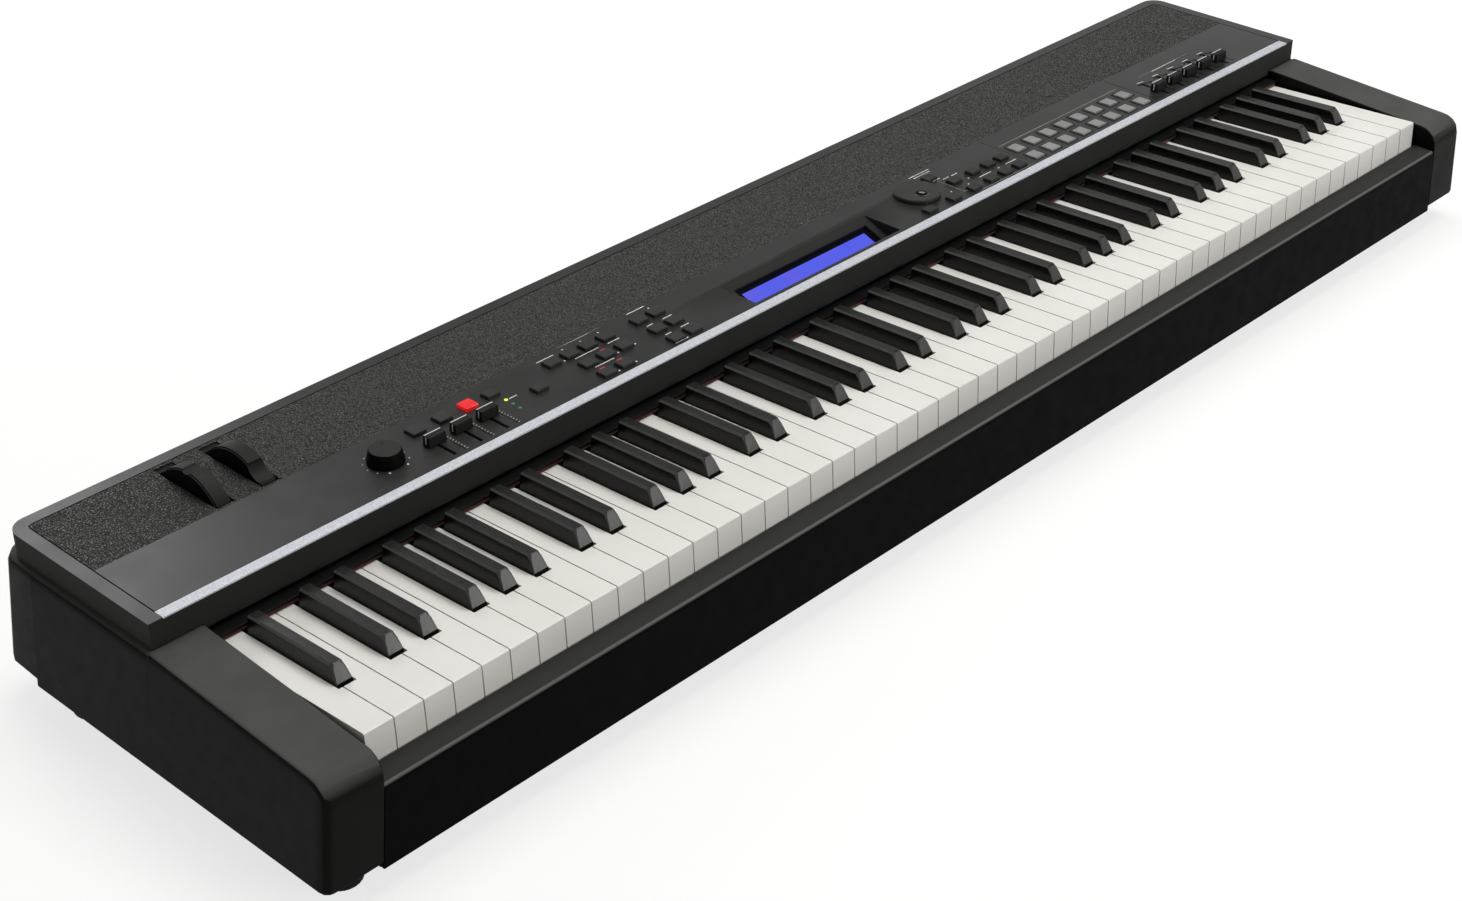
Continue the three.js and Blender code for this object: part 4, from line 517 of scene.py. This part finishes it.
# %% Give each node its material and edges
WELD_MM = 0.02
BEVEL_STEPS = 2
SHALLOW_ANGLE = math.radians(32)
EDGE_MM = {
    "lid_paint": 0.4, "block_plastic": 0.8, "rail_plastic": 0.6, "white_key_plastic": 0.4,
    "black_key_plastic": 0.6, "button_plastic": 0.4, "category_plastic": 0.5,
    "knob_plastic": 0.25, "dial_plastic": 0.25, "cap_plastic": 0.25,
    "trim_aluminium": 0.2, "red_felt": 0.5, "red_lens": 0.4, "foot_rubber": 0.8, "wheel_rubber": 0.5,
    "case_plastic": 0.4, "socket_plastic": 0.4, "display_glass": 0.2, "coated_steel": 0.5,
    "chassis_steel": 0.4, "board_laminate": 0.2,
}
slots = {entry["node"]: entry["material_slot"] for entry in frame["record"]["subparts"]}
slots["data_dial"] = "dial_plastic"
for name in slots:
    if "_fader_" in name:
        slots[name] = "cap_plastic"


def round_edges(piece, radius_mm):
    weld = piece.modifiers.new("weld", "WELD")
    weld.merge_threshold = WELD_MM * MM
    bevel = piece.modifiers.new("rounded_edges", "BEVEL")
    bevel.width = radius_mm * MM
    bevel.segments = BEVEL_STEPS
    bevel.limit_method = "ANGLE"
    bevel.angle_limit = SHALLOW_ANGLE
    bevel.use_clamp_overlap = True
    shading = piece.modifiers.new("flat_faces_stay_flat", "WEIGHTED_NORMAL")
    shading.mode = "FACE_AREA"
    shading.weight = 100
    for polygon in piece.data.polygons:
        polygon.use_smooth = True


for name, node in nodes.items():
    slot_name = slots[name]
    node.data.materials.clear()
    node.data.materials.append(materials[slot_name])
    round_edges(node, EDGE_MM[slot_name])
print("dressed", len(nodes), "nodes")

# %% [markdown]
# ## Printed rules, dots and scales
# The control band carries thin printed lines, the tick scales beside the fader slots and a ring of
# dots round the volume knob. Ink has almost no thickness: each mark here is a thin plate that stands
# a few hundredths of a millimetre proud of the lid. An image could carry them, but plates stay sharp
# and are easy to move. One function builds many marks as one mesh. The knob, the faders and the grouped
# buttons give their own places, read from their solids.

# %% Flat marks
INK_RISE = 0.05
INK_GAP = 0.01


def middle_of(name):
    low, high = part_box(name)
    return tuple(round((low[axis] + high[axis]) / 2 / MM, 3) for axis in (0, 1))


def mesh_piece(name, corners, faces, material, body="case"):
    mesh = bpy.data.meshes.new(name)
    mesh.from_pydata([tuple(value * MM for value in corner) for corner in corners], [], faces)
    mesh.validate()
    mesh.update()
    mesh.materials.append(material)
    piece = bpy.data.objects.new(name, mesh)
    bpy.context.scene.collection.objects.link(piece)
    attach(piece, body)
    return piece


def plates(name, outlines, material, body="case", low=LID_TOP + INK_GAP, high=LID_TOP + INK_RISE):
    corners, faces = [], []
    for outline in outlines:
        count = len(outline)
        first = len(corners)
        corners += [(x, y, high) for x, y in outline] + [(x, y, low) for x, y in outline]
        faces.append(tuple(first + step for step in range(count)))
        faces.append(tuple(first + count + step for step in reversed(range(count))))
        for step in range(count):
            following = (step + 1) % count
            faces.append((
                first + step, first + count + step, first + count + following, first + following))
    return mesh_piece(name, corners, faces, material, body)


def bar(x0, x1, y0, y1):
    return [(x0, y0), (x1, y0), (x1, y1), (x0, y1)]


def disc(x, y, radius, count=12):
    return [
        (x + radius * math.cos(2 * math.pi * step / count),
         y + radius * math.sin(2 * math.pi * step / count))
        for step in range(count)]


def slanted(x0, y0, x1, y1, width):
    run = Vector((x1 - x0, y1 - y0)).normalized() * width / 2
    return [
        (x0 + run.y, y0 - run.x), (x1 + run.y, y1 - run.x),
        (x1 - run.y, y1 + run.x), (x0 - run.y, y0 + run.x)]


print("mark helpers ready")

# %% Knob scale
KNOB = middle_of("volume_knob")
SCALE_RADIUS = 16.1
SCALE_DOTS = 11
END_DOT_RADIUS = 0.8
MIDDLE_DOT_RADIUS = 0.5
SCALE_FROM = math.radians(240)
SCALE_TO = math.radians(-60)

knob_dots = []
for step in range(SCALE_DOTS):
    angle = SCALE_FROM + (SCALE_TO - SCALE_FROM) * step / (SCALE_DOTS - 1)
    radius = END_DOT_RADIUS if step in (0, SCALE_DOTS - 1) else MIDDLE_DOT_RADIUS
    dot_x = KNOB[0] + SCALE_RADIUS * math.cos(angle)
    dot_y = KNOB[1] + SCALE_RADIUS * math.sin(angle)
    knob_dots.append(disc(dot_x, dot_y, radius))
plates("knob_scale", knob_dots, materials["white_ink"])
print("knob scale dots:", len(knob_dots))

# %% Fader scales
PART_FADERS = [f"part_fader_{step}" for step in range(1, 4)]
EQ_FADERS = [f"equaliser_fader_{step}" for step in range(1, 6)]
SLOT_HALF_WIDTH = 1.0
SLOT_SHADE_WIDTH = 0.6
SLOT_Y = (14.6, 45.6)
SCALE_FRONT_Y = 15
EQ_SCALE_REAR_Y = 42.0
PART_SCALE_REAR_Y = 41.0
TICK_STEP = 3.0
TICK_WIDTH = 0.5
TICK_Y = [15.2 + TICK_STEP * step for step in range(9)]
CROSSBAR_WIDTH = 1.7


# black bars along both sides of a slot widen its dark: painted shade of the slot
def slot_shade_bars(x):
    outside = SLOT_HALF_WIDTH + SLOT_SHADE_WIDTH
    return [
        bar(x - outside, x - SLOT_HALF_WIDTH, *SLOT_Y),
        bar(x + SLOT_HALF_WIDTH, x + outside, *SLOT_Y)]


def split_crossbar(x):
    return [
        slanted(x - 5.6, 44.6, x - 1.7, 43.94, CROSSBAR_WIDTH),
        slanted(x + 1.7, 43.36, x + 12, 41.6, CROSSBAR_WIDTH)]


eq_columns = [middle_of(name)[0] for name in EQ_FADERS]
part_columns = [middle_of(name)[0] for name in PART_FADERS]
scales_and_slot_shade = []
tick_marks = []
for x in eq_columns:
    scales_and_slot_shade.append(bar(x + 9.0, x + 10.2, SCALE_FRONT_Y, EQ_SCALE_REAR_Y))
    scales_and_slot_shade += split_crossbar(x)
    tick_marks.append(slanted(x - 2.5, 48.0, x + 5.5, 47.2, 1.0))
for x in eq_columns + part_columns:
    scales_and_slot_shade += slot_shade_bars(x)
for x in part_columns:
    scales_and_slot_shade.append(bar(x + 8.8, x + 9.6, SCALE_FRONT_Y, PART_SCALE_REAR_Y))
    tick_marks += [bar(x + 10.6, x + 11.8, y, y + TICK_WIDTH) for y in TICK_Y]
plates("fader_scales_and_slot_shade", scales_and_slot_shade, materials["black_ink"])
plates("fader_ticks", tick_marks, materials["white_ink"])
print("scales beside", len(eq_columns) + len(part_columns), "faders")

# %% Rules between the groups
RULE_WIDTH = 0.6
rules = [
    slanted(263.7, 72.6, 263.0, 14.6, RULE_WIDTH),
    slanted(447.0, 72.6, 446.6, 14.6, RULE_WIDTH),
    bar(188.6, 260.8, 10.9, 10.9 + RULE_WIDTH),
]
plates("panel_rules", rules, materials["black_ink"])
pale_rules = [
    bar(177.4, 178.0, 21.2, 50.4),
    bar(177.4, 186.2, 20.5, 21.1),
    bar(188.6, 260.8, 12.0, 12.7),
    bar(268.2, 440.0, 54.6, 55.6),
    bar(-238.6, -195.5, 73.2, 73.7),
    bar(475.0, 555.0, 55.7, 56.2),
]
plates("pale_rules", pale_rules, materials["grey_ink"])
print("rules:", len(rules) + len(pale_rules))

# %% Short dashes and dots beside the buttons
# A dash is its two ends along the keyboard and its distance from the lid's front edge
DASHES = [
    (-264.3, -247.4, 67.8), (-232.1, -206.5, 73.2), (-240.3, -216.6, 51.6), (-207.8, -195.9, 50.8),
    (-238.8, -219.8, 31.7), (-166.6, -148.2, 72.9), (-153.1, -143.0, 48.0), (-169.3, -163.1, 48.3),
    (-152.5, -143.9, 29.1), (-169.2, -163.0, 28.8), (-173.4, -159.7, 14.2), (164.6, 190.8, 70.8),
    (167.5, 188.6, 67.6), (173.8, 183.4, 52.6), (183.2, 190.6, 48.8), (193.8, 201.5, 48.2),
    (208.0, 223.2, 29.2), (243.7, 257.6, 29.2), (496.0, 533.5, 55.4), (-312.5, -305.0, 44.0),
]
DOTS = [
    (-237.3, 68.8), (-219.3, 68.4), (-201.2, 68.3), (-247.7, 55.2), (-211.9, 35.6), (-194.3, 35.6),
    (-230.2, 15.6), (-212.3, 16.1), (-148.1, 68.0), (200.0, 34.8), (190.9, 27.5), (169.4, 28.6),
    (138.0, 29.0), (233.7, 28.8),
]
LIT_DASHES = [(-219.5, -214.5, 46.9), (-221.1, -216.1, 27.6), (-238.7, -233.7, 27.3)]
DASH_WIDTH = 0.9
DOT_RADIUS = 0.8


def dash(x0, x1, y):
    return bar(x0, x1, y - DASH_WIDTH / 2, y + DASH_WIDTH / 2)


plates("button_dashes", [dash(*place) for place in DASHES], materials["white_ink"])
plates("button_dots", [disc(x, y, DOT_RADIUS) for x, y in DOTS], materials["white_ink"])
plates("lit_dashes", [dash(*place) for place in LIT_DASHES], materials["red_lens"])
print("dashes and dots:", len(DASHES) + len(DOTS) + len(LIT_DASHES))

# %% Painted shade round the category buttons
CATEGORY_COLUMNS = 8
CATEGORY_PITCH = 22.4
CATEGORY_ROW_HALF_PITCH = 10
CATEGORY_HALF = (6.9, 7.25)
GAP_SHADE_WIDTH = 0.9
category_x, category_y = middle_of("category_buttons")
category_first_x = category_x - CATEGORY_PITCH * (CATEGORY_COLUMNS - 1) / 2


def frame_bars(x, y, half_x, half_y, width):
    return [
        bar(x - half_x - width, x + half_x + width, y - half_y - width, y - half_y),
        bar(x - half_x - width, x + half_x + width, y + half_y, y + half_y + width),
        bar(x - half_x - width, x - half_x, y - half_y, y + half_y),
        bar(x + half_x, x + half_x + width, y - half_y, y + half_y)]


# thin near-black frames round each button are painted shade of the gap between button and lid
outlines = []
for column in range(CATEGORY_COLUMNS):
    x = category_first_x + CATEGORY_PITCH * column
    for y in (category_y + CATEGORY_ROW_HALF_PITCH, category_y - CATEGORY_ROW_HALF_PITCH):
        outlines += frame_bars(x, y, *CATEGORY_HALF, GAP_SHADE_WIDTH)
plates("category_gap_shade", outlines, materials["black_ink"])
print("outlined buttons:", len(outlines) // 4)

# %% [markdown]
# ## Lamps
# A column of three small lamps stands beside the part buttons; the uppermost is lit. The two below are
# off but still glow faintly, a painted glow. Each is a low dome of clear plastic, made from rings of
# corners that follow a quarter of an ellipse.

# %% Lamps
LAMP_RADIUS = 1.5
LAMP_HEIGHT = 0.7
LAMP_SIDES = 14
LAMP_RINGS = 4


def dome(name, x, y, material):
    count = LAMP_SIDES
    rings = LAMP_RINGS
    corners = [(x, y, LID_TOP + LAMP_HEIGHT)]
    for ring in range(1, rings + 1):
        angle = math.pi / 2 * ring / rings
        for step in range(count):
            around = 2 * math.pi * step / count
            corners.append((
                x + LAMP_RADIUS * math.sin(angle) * math.cos(around),
                y + LAMP_RADIUS * math.sin(angle) * math.sin(around),
                LID_TOP + LAMP_HEIGHT * math.cos(angle) + INK_GAP))
    faces = [(0, 1 + step, 1 + (step + 1) % count) for step in range(count)]
    for ring in range(rings - 1):
        inner, outer = 1 + ring * count, 1 + (ring + 1) * count
        for step in range(count):
            following = (step + 1) % count
            faces.append((inner + step, outer + step, outer + following, inner + following))
    last = 1 + (rings - 1) * count
    faces.append(tuple(last + step for step in reversed(range(count))))
    piece = mesh_piece(name, corners, faces, material)
    for polygon in piece.data.polygons:
        polygon.use_smooth = len(polygon.vertices) < count


dome("lamp_upper", -315.1, 44.4, materials["green_lamp"])
dome("lamp_middle", -315.5, 36.5, materials["dim_lamp"])
dome("lamp_lower", -315.9, 28.8, materials["dim_lamp"])
print("lamps made")

# %% [markdown]
# ## Lines on the fader caps and the knob's pointer
# Each fader cap has a pale line along the rear edge of its top and a short one down its left end, and
# the knob has a small dark dot near the edge of its dished top. Paint on the caps could carry them,
# but a thin block is simpler to place. They move with their controls, so each rides on its own body.

# %% Pointer lines
LINE_WIDTH = 0.9
LINE_SETBACK = 0.7
LINE_SUNK = 0.02
END_LINE_SUNK = 0.3
END_LINE_FOOT = 2.0
POINTER_OFFSET = (2.7, 6.2)
POINTER_RADIUS = 1.0
POINTER_HEIGHTS = (LID_TOP + 10.1, LID_TOP + 10.35)


def box_corners(x, y, z):
    return [(a, b, c) for a in x for b in y for c in z]


BOX_FACES = [(0, 1, 3, 2), (4, 6, 7, 5), (0, 4, 5, 1), (2, 3, 7, 6), (0, 2, 6, 4), (1, 5, 7, 3)]


def fader_lines(name):
    low, high = [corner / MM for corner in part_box(name)]
    rear = high.y - LINE_SETBACK
    middle = (low.y + high.y) / 2
    over = box_corners(
        (low.x + LINE_SETBACK, high.x - LINE_SETBACK), (rear - LINE_WIDTH, rear),
        (high.z - LINE_SUNK, high.z + INK_RISE))
    end = box_corners(
        (low.x - INK_RISE, low.x + END_LINE_SUNK),
        (middle - LINE_WIDTH / 2, middle + LINE_WIDTH / 2),
        (LID_TOP + END_LINE_FOOT, high.z - LINE_SETBACK))
    faces = BOX_FACES + [tuple(corner + len(over) for corner in face) for face in BOX_FACES]
    mesh_piece(name + "_line", over + end, faces, materials["white_ink"], name + "_body")


for name in PART_FADERS + EQ_FADERS:
    fader_lines(name)
pointer_dot = disc(KNOB[0] + POINTER_OFFSET[0], KNOB[1] + POINTER_OFFSET[1], POINTER_RADIUS)
plates("knob_pointer", [pointer_dot], materials["black_ink"], "volume_knob_body", *POINTER_HEIGHTS)
print("pointer lines:", len(PART_FADERS + EQ_FADERS) + 1)

# %% [markdown]
# ## Finger dish of the dial
# The data dial has a shallow dish near its rim for one fingertip. The dish is polished while the rest
# of the dial is grained, and its lining is painted near black as painted shade of the hollow, so it
# shows as a small dark mirror. A thin bowl, shaped as a cap of a ball, lines the dish of the solid and
# turns with the dial.

# %% Dish lining
DIAL = middle_of("data_dial")
DISH = (DIAL[0] - 2.6, DIAL[1] - 7.0)
DISH_RADIUS = 6.1
DISH_DEPTH = 1.8
DISH_TOP = LID_TOP + 4.0
DISH_SIDES = 32
DISH_RINGS = 6
LINING_RISE = 0.06
LINING_BURIED = 0.3


def bowl(name, centre, radius, depth, top, material, body):
    ball = (radius * radius + depth * depth) / (2 * depth)
    count = DISH_SIDES
    rings = DISH_RINGS
    corners = []
    for lift in (LINING_RISE, -LINING_BURIED):
        corners.append((*centre, top - depth + lift))
        for ring in range(1, rings + 1):
            out = radius * ring / rings
            height = top - depth + ball - math.sqrt(ball * ball - out * out) + lift
            corners += [(x, y, height) for x, y in disc(*centre, out, count)]
    faces = []
    under = 1 + rings * count
    for start, turned in ((0, False), (under, True)):
        sheet = [(start, start + 1 + step, start + 1 + (step + 1) % count) for step in range(count)]
        for ring in range(rings - 1):
            inner, outer = start + 1 + ring * count, start + 1 + (ring + 1) * count
            for step in range(count):
                following = (step + 1) % count
                sheet.append((inner + step, outer + step, outer + following, inner + following))
        faces += [tuple(reversed(face)) for face in sheet] if turned else sheet
    rim = 1 + (rings - 1) * count
    for step in range(count):
        following = (step + 1) % count
        faces.append((rim + step, under + rim + step, under + rim + following, rim + following))
    piece = mesh_piece(name, corners, faces, material, body)
    for polygon in piece.data.polygons:
        polygon.use_smooth = True


bowl("dial_dish", DISH, DISH_RADIUS, DISH_DEPTH, DISH_TOP, materials["polished_plastic"], "data_dial_body")
print("dish lined, radius", DISH_RADIUS, "mm")

# %% [markdown]
# ## Floor, light and background
# The piano stands on a plain pale floor in a white studio. The floor is a large plane that fills the
# view. A camera, mirror or glass ray sees it brighter than a bounce ray does, through the Light Path
# node, so the backdrop reads white while the shadow stays and the object is not overlit from below.
# Light comes from broad lamps: one overhead, one behind that gives the lid its sheen toward the bass
# end, and one before the treble end for the fronts of the keys. None stands at the left, so the sides
# that face left stay in shade. A gloss ray finds the world white near the horizon and darker above,
# as in a studio with a dark ceiling, so the top faces stay black and the lid's sheen has a shape.

# %% Floor
FLOOR_HALF = 12.0
FLOOR_GLOW = 0.74
WHITE = (1, 1, 1, 1)
floor_mesh = bpy.data.meshes.new("floor")
floor_mesh.from_pydata(
    [(-FLOOR_HALF, -FLOOR_HALF, 0), (FLOOR_HALF, -FLOOR_HALF, 0),
     (FLOOR_HALF, FLOOR_HALF, 0), (-FLOOR_HALF, FLOOR_HALF, 0)],
    [], [(0, 1, 2, 3)])
floor = bpy.data.objects.new("floor", floor_mesh)
bpy.context.scene.collection.objects.link(floor)
floor_material, floor_tree, floor_shader, _ = new_material("studio_floor", "#8a8a88", 0.9)
floor_shader.inputs["Specular IOR Level"].default_value = 0.1


def direct_view(tree):
    path = add(tree, "ShaderNodeLightPath").outputs
    seen = add(
        tree, "ShaderNodeMath", {"operation": "MAXIMUM"},
        _0=path["Is Camera Ray"], _1=path["Is Glossy Ray"]).outputs[0]
    return add(
        tree, "ShaderNodeMath", {"operation": "MAXIMUM"},
        _0=seen, _1=path["Is Transmission Ray"]).outputs[0]


floor_shader.inputs["Emission Color"].default_value = WHITE
floor_glow = times(floor_tree, direct_view(floor_tree), FLOOR_GLOW)
link(floor_tree, floor_glow, floor_shader, "Emission Strength")
floor_mesh.materials.append(floor_material)
print("floor", 2 * FLOOR_HALF, "m wide")

# %% World and lamps
BOUNCE_LEVEL = 0.26
HORIZON_LEVEL = 1.0
CEILING_LEVEL = 0.05
HORIZON_CLIMB = 0.25
CEILING_CLIMB = 0.5
world = bpy.data.worlds.new("studio")
bpy.context.scene.world = world
world.use_nodes = True
background = world.node_tree.nodes["Background"]
background.inputs["Color"].default_value = WHITE
ray = add(world.node_tree, "ShaderNodeTexCoord").outputs["Generated"]
climb = add(world.node_tree, "ShaderNodeSeparateXYZ", Vector=ray).outputs["Z"]
seen_level = add(
    world.node_tree, "ShaderNodeMapRange", Value=climb, From_Min=HORIZON_CLIMB, From_Max=CEILING_CLIMB,
    To_Min=HORIZON_LEVEL, To_Max=CEILING_LEVEL).outputs["Result"]
strength = add(
    world.node_tree, "ShaderNodeMapRange", Value=direct_view(world.node_tree), To_Min=BOUNCE_LEVEL,
    To_Max=seen_level).outputs["Result"]
link(world.node_tree, strength, background, "Strength")


def soft_lamp(name, place, target, size, watts):
    data = bpy.data.lights.new(name, "AREA")
    data.shape = "RECTANGLE"
    data.size, data.size_y = size
    data.energy = watts
    lamp = bpy.data.objects.new(name, data)
    bpy.context.scene.collection.objects.link(lamp)
    lamp.location = place
    direction = Vector(target) - Vector(place)
    lamp.rotation_euler = direction.to_track_quat("-Z", "Y").to_euler()


soft_lamp("overhead_lamp", place=(0.5, 0.2, 2.6), target=(0.1, 0, 0.1), size=(2.4, 1.6), watts=60)
soft_lamp("rear_lamp", place=(0.2, 2.35, 1.7), target=(-0.5, 0, 0.1), size=(1.1, 0.8), watts=13)
soft_lamp("front_lamp", place=(0.9, -2.7, 0.8), target=(0.0, 0, 0.1), size=(1.5, 0.75), watts=34)
print("lamps set")
